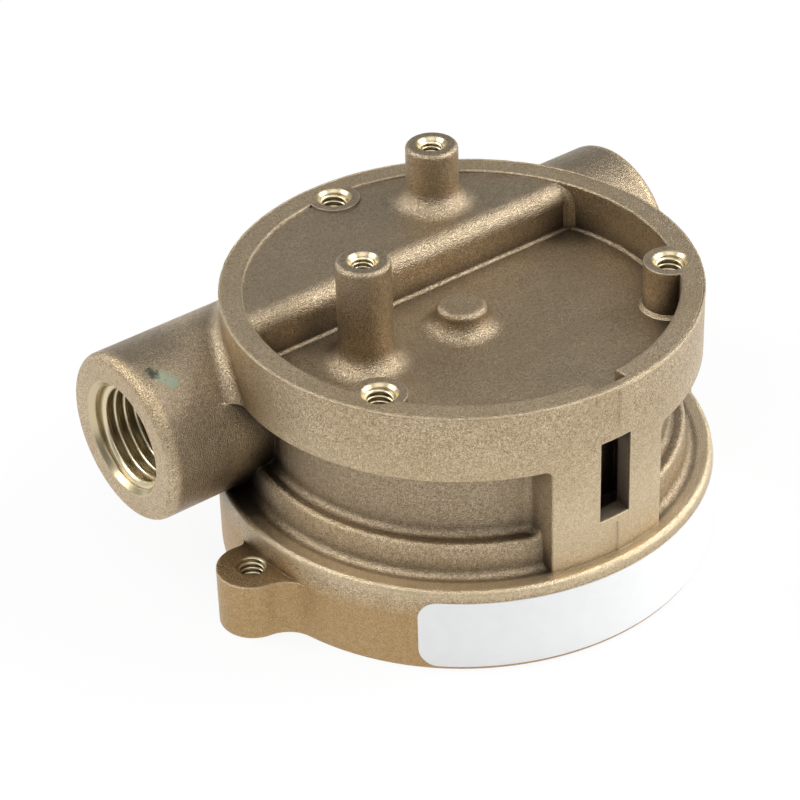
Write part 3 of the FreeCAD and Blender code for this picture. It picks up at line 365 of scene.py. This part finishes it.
pale = add_node(tree, "ShaderNodeMath", {0: bloom((-34.9, 11.6, 29.75), 0.75),
                                         1: bloom((-34.2, 10.7, 29.2), 0.8)}, operation="MAXIMUM").outputs[0]
colour = add_node(tree, "ShaderNodeMix", {0: pale, 6: colour, 7: linear("#97a38b")},
                  data_type="RGBA").outputs[2]
spot = bloom((-35.6, 12.45, 30.0), 0.7)
colour = add_node(tree, "ShaderNodeMix", {0: spot, 6: colour, 7: linear("#2c352c")},
                  data_type="RGBA").outputs[2]
crust = add_node(tree, "ShaderNodeMath", {0: pale, 1: spot}, operation="MAXIMUM")
print("verdigris on the near port")

# %% [markdown]
# The casting is one solid with one material, but its holes, seats and front face are machined. These
# places are told from the cast ones by where they are: within a circle round each hole's axis and
# between two heights, or on the wet side behind the window. The port faces and the tops of the posts
# were only skimmed by a cutter, which leaves the grain half as deep.

# %% Machined places
folded = add_node(tree, "ShaderNodeCombineXYZ", {"X": sideways.outputs[0], "Y": axes.outputs["Y"],
                                                 "Z": axes.outputs["Z"]}).outputs[0]


def cut_round(space, axis, point, radius, middle, half):
    """1 within a radius of a line along an axis, as far as half from a middle along it, else 0."""
    keep = [0 if i == axis else 1 for i in range(3)]
    flat = add_node(tree, "ShaderNodeVectorMath", {0: space, 1: keep}, operation="MULTIPLY")
    away = add_node(tree, "ShaderNodeVectorMath", {0: flat.outputs[0], 1: point}, operation="DISTANCE")
    disc = add_node(tree, "ShaderNodeMapRange", {"Value": away.outputs["Value"], "From Min": radius + 0.05,
                                                 "From Max": radius - 0.05})
    along = add_node(tree, "ShaderNodeSeparateXYZ", {"Vector": space})
    level = add_node(tree, "ShaderNodeMath", {0: along.outputs["XYZ"[axis]], 1: middle, 2: half},
                     operation="COMPARE")
    return add_node(tree, "ShaderNodeMath", {0: disc.outputs[0], 1: level.outputs[0]},
                    operation="MULTIPLY").outputs[0]


places = [
    cut_round(folded, 0, (0, PORT_Y, PORT_Z), 7.25, 33.0, 5.5),  # port threads and their mouths
    cut_round(folded, 0, (0, PORT_Y, PORT_Z), 5.7, 20.0, 18.5),  # adapter's seat and flow channel
    cut_round(folded, 2, (EAR_HOLE_X, 0, 0), 1.8, 3.8, 3.9),  # ear holes
    cut_round(mm, 2, (0, 0, 0), 23.55, 12.0, 12.94),  # wet side
    cut_round(mm, 2, (0, 0, 0), 40.0, 0.0, 0.02),  # front face
]
places += [cut_round(mm, 2, (x, y, 0), 2.17, 30.4, 3.8) for x, y in RIM_HOLES]
places += [cut_round(mm, 2, (x, y, 0), 1.89, 38.2, 3.4) for x, y in POST_HOLES]
machined = places[0]
for place_mask in places[1:]:
    machined = add_node(tree, "ShaderNodeMath", {0: machined, 1: place_mask}, operation="MAXIMUM").outputs[0]
port_faces = cut_round(folded, 0, (0, PORT_Y, PORT_Z), 9.6, PORT_FACE, 0.02)
post_tops = cut_round(mm, 2, (0, 0, 0), 30.0, POST_TOP, 0.02)
skimmed = add_node(tree, "ShaderNodeMath", {0: port_faces, 1: post_tops}, operation="MAXIMUM")
print(len(places), "machined places")

# %% [markdown]
# The inside of the cable slot is made a dull dark brown, rougher and less metal. A box-shaped distance picks
# its walls out: the place is measured from the slot's middle, in halves of the slot's sizes, and the largest
# of the three is under 1 inside the box.

# %% Darker inside of the cable slot
slot_box = add_node(tree, "ShaderNodeVectorMath", {0: mm, 1: (0.7, 25.2, -21.7)}, operation="ADD")
slot_box = add_node(tree, "ShaderNodeVectorMath", {0: slot_box.outputs[0], 1: (1 / 2.3, 1 / 3.0, 1 / 6.4)},
                 operation="MULTIPLY")
slot_box = add_node(tree, "ShaderNodeVectorMath", {0: slot_box.outputs[0]}, operation="ABSOLUTE")
slot_box = add_node(tree, "ShaderNodeSeparateXYZ", {"Vector": slot_box.outputs[0]})
widest = add_node(tree, "ShaderNodeMath", {0: slot_box.outputs["X"], 1: slot_box.outputs["Y"]}, operation="MAXIMUM")
widest = add_node(tree, "ShaderNodeMath", {0: widest.outputs[0], 1: slot_box.outputs["Z"]}, operation="MAXIMUM")
# The inside of the cable slot is mixed towards a dull dark brown.
slot_darkening = add_node(tree, "ShaderNodeMapRange", {"Value": widest.outputs[0], "From Min": 1.0, "From Max": 0.93,
                                             "To Max": 0.7})
colour = add_node(tree, "ShaderNodeMix", {0: slot_darkening.outputs[0], 6: colour, 7: linear("#63574a")},
                  data_type="RGBA").outputs[2]
print("soot in the cable slot")

# %% [markdown]
# The masks meet in one shader. A cutter leaves bright, even metal, so machined places lose the ramp's colour,
# the grain's bump and its change of roughness. A crust, and the darker inside of the cable slot, is rough and
# only part metal.
# One shader with mixed values stays cheaper than several shaders mixed.

# %% Sand-cast bronze put together
RELIEF = 0.16
colour = add_node(tree, "ShaderNodeMix", {0: machined, 6: colour, 7: linear("#cfbf9c")},
                  data_type="RGBA").outputs[2]
cast_rough = add_node(tree, "ShaderNodeMapRange", {"Value": skin.outputs[0], "From Min": 0.35,
                                                   "From Max": 0.65, "To Min": 0.46, "To Max": 0.32})
rough = add_node(tree, "ShaderNodeMix", {0: machined, 2: cast_rough.outputs[0], 3: 0.3},
                 data_type="FLOAT").outputs[0]
crust = add_node(tree, "ShaderNodeMath", {0: crust.outputs[0], 1: slot_darkening.outputs[0]}, operation="MAXIMUM")
rough = add_node(tree, "ShaderNodeMix", {0: crust.outputs[0], 2: rough, 3: 0.7}, data_type="FLOAT").outputs[0]
depth = add_node(tree, "ShaderNodeMath", {0: skimmed.outputs[0], 1: -0.5, 2: 1.0}, operation="MULTIPLY_ADD")
depth = add_node(tree, "ShaderNodeMath", {0: depth.outputs[0], 1: machined}, operation="SUBTRACT",
                 use_clamp=True)
relief = add_node(tree, "ShaderNodeMath", {0: roll.outputs["Fac"], 1: 0.9, 2: skin.outputs[0]},
                  operation="MULTIPLY_ADD")
bump = add_node(tree, "ShaderNodeBump", {"Strength": depth.outputs[0], "Distance": RELIEF * MM,
                                         "Height": relief.outputs[0], "Normal": rounded.outputs[0]})
metal = add_node(tree, "ShaderNodeMath", {0: crust.outputs[0], 1: -0.75, 2: 1.0}, operation="MULTIPLY_ADD")
shader = add_node(tree, "ShaderNodeBsdfPrincipled", {"Base Color": colour, "Metallic": metal.outputs[0],
                                                     "Roughness": rough, "Normal": bump.outputs[0]})
tree.links.new(shader.outputs[0], output.inputs["Surface"])
print("bronze nodes:", len(tree.nodes), "relief", RELIEF, "mm")

# %% [markdown]
# ## Cut bronze of the threads
# A tap leaves the same alloy bright, with fine lines along its path. The lines are much finer than a pixel
# here, so a coarser noise stands for them and only breaks up the reflection. The roots are painted darker, a
# painted shade that ambient occlusion finds again.

# %% Cut bronze
cut_bronze, tree, output, mm = new_material("cut_bronze")
lines = add_node(tree, "ShaderNodeTexNoise", {"Vector": mm, "Scale": 1 / 0.3, "Detail": 2.0})
colour = add_node(tree, "ShaderNodeMix", {0: lines.outputs["Fac"], 6: linear("#d9cba6"),
                                          7: linear("#efe4c8")}, data_type="RGBA")
open_sky = add_node(tree, "ShaderNodeAmbientOcclusion", {"Distance": 0.6 * MM}, samples=4)
# Painted shade: thread roots that ambient occlusion finds are mixed towards a dark bronze.
painted_root_shade = add_node(tree, "ShaderNodeMapRange", {"Value": open_sky.outputs["AO"], "From Min": 0.7,
                                             "From Max": 0.3, "To Min": 0.0, "To Max": 0.6})
colour = add_node(tree, "ShaderNodeMix", {0: painted_root_shade.outputs[0], 6: colour.outputs[2], 7: linear("#806c48")},
                  data_type="RGBA")
rough = add_node(tree, "ShaderNodeMapRange", {"Value": lines.outputs["Fac"], "To Min": 0.3, "To Max": 0.46})
shader = add_node(tree, "ShaderNodeBsdfPrincipled", {"Base Color": colour.outputs[2], "Metallic": 1.0,
                                                     "Roughness": rough.outputs[0]})
tree.links.new(shader.outputs[0], output.inputs["Surface"])
print("cut bronze nodes:", len(tree.nodes))

# %% [markdown]
# ## Thread ridges
# The CAD wall of each tapped hole is at the thread's outer (major) radius, so the ridge stands in from
# it. A ridge is one small profile carried round the axis while it moves along it. bmesh's spin does
# both at once for one turn, and copies of that turn, each a pitch further in, make the rest: that is
# much quicker than one long spin. The countersink at the mouth cuts the first ridges off on a cone,
# and at the bottom the last half turn fades out.

# %% One ridge as a mesh


def outline(bm, points):
    """The vertices and edges of a closed line through points."""
    verts = [bm.verts.new(point) for point in points]
    return verts, [bm.edges.new((verts[i], verts[(i + 1) % len(verts)])) for i in range(len(verts))]


def thread_ridge(wall, crest, pitch, depth, mouth, sides):
    """A ridge about local Z, from a hole's mouth at z = 0 down into the metal at +z (mm)."""
    buried = wall + 0.04
    shoulder = crest + 0.22 * (wall - crest)
    profile = [(buried, -0.46), (shoulder, -0.17), (crest, -0.08), (crest, 0.08), (shoulder, 0.17),
               (buried, 0.46)]
    bm = bmesh.new()
    verts, loop = outline(bm, [(r, 0.0, z * pitch) for r, z in profile])
    bmesh.ops.spin(bm, geom=verts + loop, cent=(0, 0, 0), axis=(0, 0, 1), dvec=(0, 0, pitch / sides),
                   angle=2 * math.pi, steps=sides, use_merge=False)
    turn = bm.verts[:] + bm.edges[:] + bm.faces[:]
    turns = int(depth / pitch)
    for count in range(1, turns):
        copy = bmesh.ops.duplicate(bm, geom=turn)["geom"]
        bmesh.ops.translate(bm, vec=(0, 0, count * pitch),
                            verts=[g for g in copy if isinstance(g, bmesh.types.BMVert)])
    bmesh.ops.remove_doubles(bm, verts=bm.verts, dist=0.0005)
    bmesh.ops.holes_fill(bm, edges=[e for e in bm.edges if e.is_boundary], sides=0)
    for vert in bm.verts:
        radius = math.hypot(vert.co.x, vert.co.y)
        fade = min(1.0, max(0.02, (turns * pitch - vert.co.z) / (0.5 * pitch)))
        wanted = max(buried + (radius - buried) * fade, mouth + 0.03 - vert.co.z)
        vert.co.x *= wanted / radius
        vert.co.y *= wanted / radius
        vert.co.z = max(vert.co.z, 0.12 * pitch)
    mesh = bpy.data.meshes.new("ridge")
    bm.to_mesh(mesh)
    bm.free()
    return mesh


def put(bm, mesh, x, y, z, into):
    """Add a mesh drawn about local Z to bm, with Z turned along into and its mouth at x, y, z."""
    before = len(bm.verts)
    bm.from_mesh(mesh)
    turn = Vector((0, 0, 1)).rotation_difference(Vector(into))
    bmesh.ops.transform(bm, matrix=Matrix.Translation((x, y, z)) @ turn.to_matrix().to_4x4(),
                        verts=bm.verts[before:])


def finish_piece(bm, name, material, body, replaces=None):
    """Turn a bmesh drawn in millimetres into a piece that rides on a body."""
    bmesh.ops.scale(bm, vec=(MM, MM, MM), verts=bm.verts)
    bmesh.ops.recalc_face_normals(bm, faces=bm.faces)
    mesh = bpy.data.meshes.new(name)
    bm.to_mesh(mesh)
    bm.free()
    mesh.shade_smooth()
    mesh.materials.append(material)
    item = bpy.data.objects.new(name, mesh)
    bpy.context.scene.collection.objects.link(item)
    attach(item, body)
    if replaces:
        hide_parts(replaces)
    print(name, len(mesh.polygons), "faces")
    return item


# %% [markdown]
# The ports carry a G 1/4 pipe thread: 13.157 mm over the ridges' roots, 11.445 mm over their crests, 19
# ridges to the inch. The rim, the posts and the ears carry small screw threads. All the small ones are
# one piece, because they are one cut surface and nothing there moves.

# %% Threads of the ports and of the tapped holes
ridge = thread_ridge(wall=6.58, crest=5.72, pitch=1.337, depth=11.0, mouth=7.23, sides=72)
for name, side in (("near_port_thread", -1), ("far_port_thread", 1)):
    bm = bmesh.new()
    put(bm, ridge, side * PORT_FACE, PORT_Y, PORT_Z, (-side, 0, 0))
    finish_piece(bm, name, cut_bronze, "casting")

bm = bmesh.new()
ridge = thread_ridge(wall=1.75, crest=1.4, pitch=0.7, depth=7.2, mouth=2.15, sides=36)
for x, y in RIM_HOLES:
    put(bm, ridge, x, y, RIM_TOP, (0, 0, -1))
ridge = thread_ridge(wall=1.42, crest=1.16, pitch=0.55, depth=6.5, mouth=1.87, sides=36)
for x, y in POST_HOLES:
    put(bm, ridge, x, y, POST_TOP, (0, 0, -1))
ridge = thread_ridge(wall=1.75, crest=1.4, pitch=0.7, depth=7.6, mouth=1.75, sides=36)
for x, y in EAR_HOLES:
    put(bm, ridge, x, y, EAR_TOP, (0, 0, -1))
finish_piece(bm, "screw_threads", cut_bronze, "casting")

# %% [markdown]
# ## Marks of the mould
# Sand moulds round every inside corner, because sharp sand breaks off. The solid has most of these
# rounds. The hollow corners at the two ends of the plateau are added here. Each is a hollow arc, closed
# inside the metal, whose radius shrinks as the plateau's edge rolls over. A fillet of one radius would
# stand out over that edge, so outlines at nine heights are bridged.

# %% Hollow corners at the ends of the plateau
PLATEAU_EDGE = 8.7
PLATEAU_ROUND = 2.3
PLATEAU_TOP = 33.8


def corner_outline(bm, side, z):
    """Edges of the corner's outline at one height. It shrinks where the plateau's edge is rounded."""
    climb = max(0.0, z - (PLATEAU_TOP - PLATEAU_ROUND)) / PLATEAU_ROUND
    wall = PLATEAU_EDGE + PLATEAU_ROUND * (1 - math.sqrt(max(0.0, 1 - climb ** 2)))
    radius = 1.3 * (1 - climb) ** 0.6 + 0.02
    cy = wall - radius
    cx = math.sqrt((RECESS_RADIUS - radius) ** 2 - cy ** 2)
    end = math.atan2(cy, cx)
    points = []
    for i in range(9):
        angle = math.pi / 2 + (end - math.pi / 2) * i / 8
        points.append((cx + radius * math.cos(angle), cy + radius * math.sin(angle)))
    points.append(((RECESS_RADIUS + 0.3) * math.cos(end), (RECESS_RADIUS + 0.3) * math.sin(end)))
    points.append((math.sqrt((RECESS_RADIUS + 0.3) ** 2 - (wall + 0.3) ** 2), wall + 0.3))
    points.append((cx, wall + 0.3))
    return outline(bm, [(side * x, y, z) for x, y in points])[1]


bm = bmesh.new()
for side in (-1, 1):
    outlines = [corner_outline(bm, side, z) for z in (27.6, 28.6, 30.2, 31.5, 32.1, 32.6, 33.1, 33.5, 33.75)]
    for lower, upper in zip(outlines, outlines[1:]):
        bmesh.ops.bridge_loops(bm, edges=lower + upper)
bmesh.ops.holes_fill(bm, edges=[e for e in bm.edges if e.is_boundary], sides=0)
finish_piece(bm, "plateau_corners", bronze, "casting")

# %% [markdown]
# The two free-standing rim bosses have hollow feet on the floor of the recess. Such a foot is one small
# arc turned about the boss, so a spin makes it. The spin covers only the side towards the middle, and its
# ends stay buried in the rim.

# %% Feet of the rim bosses
bm = bmesh.new()
for angle, (x, y) in zip(RIM_HOLE_ANGLES[1:], RIM_HOLES[1:]):
    inwards = math.radians(angle + 180 - 95)
    profile = [(3.0, -0.1), (3.0, 0.5)]
    profile += [(3.65 + 0.45 * math.cos(a),
                 0.45 + 0.45 * math.sin(a)) for a in (math.pi * (1 + i / 12) for i in range(7))]
    profile += [(3.65, -0.1)]
    verts, loop = outline(bm, [(x + r * math.cos(inwards), y + r * math.sin(inwards), RECESS_FLOOR + z)
                               for r, z in profile])
    bmesh.ops.spin(bm, geom=verts + loop, cent=(x, y, 0), axis=(0, 0, 1), angle=math.radians(190), steps=40,
                   use_merge=False)
bmesh.ops.holes_fill(bm, edges=[e for e in bm.edges if e.is_boundary], sides=0)
finish_piece(bm, "rim_boss_feet", bronze, "casting")

# %% [markdown]
# The blend between rim and port ends on a level plane. At each of its four ends the solid has a groove
# a quarter of a millimetre deep, which a casting would have filled with sand-rounded metal. A three-sided
# sliver, flush with the port's skin, closes each one.

# %% Ends of the rim blends
bm = bmesh.new()
profile = [(9.14, 25.38), (8.785, 25.95), (8.5, 25.3)]
for side in (-1, 1):
    for across, start, length in ((-1, 28.2, 1.6), (1, 13.3, 4.2)):
        verts, loop = outline(bm, [(side * start, PORT_Y + across * h, z) for h, z in profile])
        bmesh.ops.spin(bm, geom=verts + loop, cent=(0, 0, 0), axis=(1, 0, 0), dvec=(side * length, 0, 0),
                       angle=0, steps=1, use_merge=False)
bmesh.ops.holes_fill(bm, edges=[e for e in bm.edges if e.is_boundary], sides=0)
finish_piece(bm, "rim_blend_ends", bronze, "casting")

# %% [markdown]
# Where the halves of the mould met, metal crept into the gap. On this body that seam shows as a thin
# line above and below the cable slot. A painted line would not catch the light, so it is a low ridge,
# drawn as a grid with its middle row pulled out, and a slow noise makes its height and line wander.
# Blender's noise starts from the clock unless it gets a seed, and every run should give the same line.

# %% Parting line
noise.seed_set(1)


def wander(bm, scale, amount, seed):
    """Move every vertex by a slow noise, so that a drawn line looks broken by hand and cutter."""
    for vert in bm.verts:
        vert.co += noise.noise_vector(vert.co * scale + Vector((seed, 0, 0))) * amount


bm = bmesh.new()
for low_z, high_z in ((28.6, 33.6), (10.7, 15.3)):
    made = bmesh.ops.create_grid(bm, x_segments=2, y_segments=24, size=0.5)["verts"]
    bmesh.ops.scale(bm, vec=(0.3, high_z - low_z, 1), verts=made)
    bmesh.ops.rotate(bm, cent=(0, 0, 0), matrix=Matrix.Rotation(math.radians(90), 3, "X"), verts=made)
    bmesh.ops.translate(bm, vec=(-0.22, -RIM_RADIUS + 0.02, (low_z + high_z) / 2), verts=made)
    for vert in made:
        if abs(vert.co.x + 0.22) < 0.01:
            vert.co.y -= 0.2
sheet = bm.faces[:]
back_side = bmesh.ops.extrude_face_region(bm, geom=sheet)["geom"]
bmesh.ops.translate(bm, vec=(0, 0.25, 0), verts=[g for g in back_side if isinstance(g, bmesh.types.BMVert)])
wander(bm, 0.9, 0.05, 3.0)
finish_piece(bm, "parting_line", bronze, "casting")

# %% [markdown]
# The cutter that levelled the rim pushed metal over its outer edge, where it stands as a ragged burr. It
# is a small profile turned once round the rim, and the same noise breaks it up.

# %% Rim burr
bm = bmesh.new()
profile = [(-0.3, -0.1), (-0.15, 0.01), (-0.05, 0.03), (0.02, 0.0), (0.02, -0.15), (-0.1, -0.3)]
verts, loop = outline(bm, [(RIM_RADIUS + r, 0, RIM_TOP + z) for r, z in profile])
bmesh.ops.spin(bm, geom=verts + loop, cent=(0, 0, 0), axis=(0, 0, 1), angle=2 * math.pi, steps=400,
               use_merge=True)
wander(bm, 0.8, 0.05, 11.0)
finish_piece(bm, "rim_burr", bronze, "casting")

# %% [markdown]
# ## Label
# The label is a satin polyester film wrapped round the flange. It is left bare. Its surface is nearly flat,
# with a slow waviness where the casting shows through, and it is painted a little grey where the casting
# comes close, a painted shade found by ambient occlusion.

# %% Label film
film, tree, output, mm = new_material("satin_polyester_film")
waves = add_node(tree, "ShaderNodeTexNoise", {"Vector": mm, "Scale": 1 / 1.8, "Detail": 1.0})
colour = add_node(tree, "ShaderNodeMix", {0: waves.outputs["Fac"], 6: linear("#f2f2f1"),
                                          7: linear("#f8f8f8")}, data_type="RGBA").outputs[2]
open_sky = add_node(tree, "ShaderNodeAmbientOcclusion", {"Distance": 0.5 * MM}, samples=4)
# Painted shade: where ambient occlusion finds the casting close, the film is mixed towards grey.
painted_label_shade = add_node(tree, "ShaderNodeMapRange", {"Value": open_sky.outputs["AO"], "From Min": 0.9,
                                               "From Max": 0.5, "To Min": 0.0, "To Max": 0.5})
colour = add_node(tree, "ShaderNodeMix", {0: painted_label_shade.outputs[0], 6: colour, 7: linear("#a8a49c")},
                  data_type="RGBA").outputs[2]
bump = add_node(tree, "ShaderNodeBump", {"Strength": 0.5, "Distance": 0.03 * MM,
                                         "Height": waves.outputs["Fac"]})
shader = add_node(tree, "ShaderNodeBsdfPrincipled", {"Base Color": colour, "Roughness": 0.36,
                                                     "Normal": bump.outputs[0]})
tree.links.new(shader.outputs[0], output.inputs["Surface"])
print("label film ready")

# %% [markdown]
# ## Window, rotor and the other hidden pieces
# The window is clear polysulfone, which has a faint amber cast and bends light more than glass does. A
# slow noise stands for the flow of the melt. The rotor is moulded in orange plastic, its pin is ground
# ceramic, the magnets are sintered, the seal is nitrile rubber and the adapter is turned from natural
# acetal.

# %% Clear polysulfone
clear, tree, output, mm = new_material("clear_polysulfone")
flow = add_node(tree, "ShaderNodeTexNoise", {"Vector": mm, "Scale": 1 / 5.0, "Detail": 1.0})
colour = add_node(tree, "ShaderNodeMix", {0: flow.outputs["Fac"], 6: linear("#f8edd0"), 7: linear("#fdf6e6")},
                  data_type="RGBA").outputs[2]
bump = add_node(tree, "ShaderNodeBump", {"Strength": 0.4, "Distance": 0.02 * MM,
                                         "Height": flow.outputs["Fac"]})
rough = add_node(tree, "ShaderNodeMapRange", {"Value": flow.outputs["Fac"], "To Min": 0.02, "To Max": 0.09})
shader = add_node(tree, "ShaderNodeBsdfPrincipled", {"Base Color": colour, "Roughness": rough.outputs[0],
                                                     "IOR": 1.63, "Transmission Weight": 1.0,
                                                     "Normal": bump.outputs[0]})
tree.links.new(shader.outputs[0], output.inputs["Surface"])
print("clear polysulfone ready")

# %% [markdown]
# The other hidden pieces differ in colour, gloss and grain, but each finish is the same idea: one fine
# noise tints the piece, changes its gloss and lifts its surface a little. So one function makes them.

# %% Moulded, sintered, ground and turned pieces


def speckled(name, dark, light, size, roughness, depth, metallic=0.0):
    """A finish whose tone and height follow one noise of a real grain size in millimetres."""
    material, tree, output, mm = new_material(name)
    grains = add_node(tree, "ShaderNodeTexNoise", {"Vector": mm, "Scale": 1 / size, "Detail": 3.0})
    colour = add_node(tree, "ShaderNodeMix", {0: grains.outputs["Fac"], 6: linear(dark), 7: linear(light)},
                      data_type="RGBA")
    gloss = add_node(tree, "ShaderNodeMapRange", {"Value": grains.outputs["Fac"], "To Min": roughness + 0.08,
                                                  "To Max": roughness - 0.08})
    bump = add_node(tree, "ShaderNodeBump", {"Strength": 1.0, "Distance": depth * MM,
                                             "Height": grains.outputs["Fac"]})
    shader = add_node(tree, "ShaderNodeBsdfPrincipled", {"Base Color": colour.outputs[2],
                                                         "Metallic": metallic,
                                                         "Roughness": gloss.outputs[0],
                                                         "Normal": bump.outputs[0]})
    tree.links.new(shader.outputs[0], output.inputs["Surface"])
    print(name, "grain", size, "mm")
    return material


orange = speckled("moulded_orange_plastic", "#d44d16", "#ec6c28", size=0.5, roughness=0.42, depth=0.012)
sintered = speckled("sintered_magnet", "#3a3b3e", "#56585c", size=0.2, roughness=0.5, depth=0.01,
                    metallic=0.6)
ceramic = speckled("ground_ceramic", "#e8e6df", "#f3f1ec", size=0.3, roughness=0.25, depth=0.003)
rubber = speckled("nitrile_rubber", "#101010", "#1c1c1c", size=0.4, roughness=0.55, depth=0.01)
acetal = speckled("turned_acetal", "#e2dfd2", "#efece2", size=0.6, roughness=0.4, depth=0.01)

# %% [markdown]
# A mould, a press or a lathe never leaves a knife edge. So four of the hidden CAD solids get a merged
# copy with a Bevel modifier, which rounds every edge sharper than a set angle. Merging comes first,
# because the CAD mesh is loose triangles and a bevel works on shared edges.

# %% Softened copies of the small solids


def soften(node, name, width, body, material):
    """A piece that stands for a CAD node, with its edges rounded by width (mm)."""
    bm = bmesh.new()
    bm.from_mesh(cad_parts[node].data)
    bmesh.ops.remove_doubles(bm, verts=bm.verts, dist=0.000001)
    bmesh.ops.scale(bm, vec=(1 / MM, 1 / MM, 1 / MM), verts=bm.verts)
    bmesh.ops.dissolve_limit(bm, angle_limit=math.radians(0.3), verts=bm.verts, edges=bm.edges)
    item = finish_piece(bm, name, material, body, node)
    rounding = item.modifiers.new("rounded edges", "BEVEL")
    rounding.width = width * MM
    rounding.segments = 2
    rounding.limit_method = "ANGLE"
    rounding.angle_limit = math.radians(38)
    rounding.harden_normals = True
    return item


soften("rotor", "paddle_wheel", 0.22, "wheel", orange)
soften("low_flow_adapter", "jet_insert", 0.15, "casting", acetal)
soften("rotor_magnets", "pressed_magnets", 0.12, "wheel", sintered)
soften("lens", "window_cap", 0.18, "window", clear)

# %% [markdown]
# ## Finishes and sizes
# The CAD solids keep their shapes and take the finishes through their material slots. The four that have
# a softened copy take them too, so that either one looks the same.

# %% Finishes onto the CAD nodes
FINISHES = {
    "body_casting": bronze,
    "label": film,
    "lens": clear,
    "rotor": orange,
    "rotor_magnets": sintered,
    "rotor_pin": ceramic,
    "lens_o_ring": rubber,
    "low_flow_adapter": acetal,
}
for name, material in FINISHES.items():
    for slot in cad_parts[name].material_slots:
        slot.material = material
    print(name, "->", material.name)
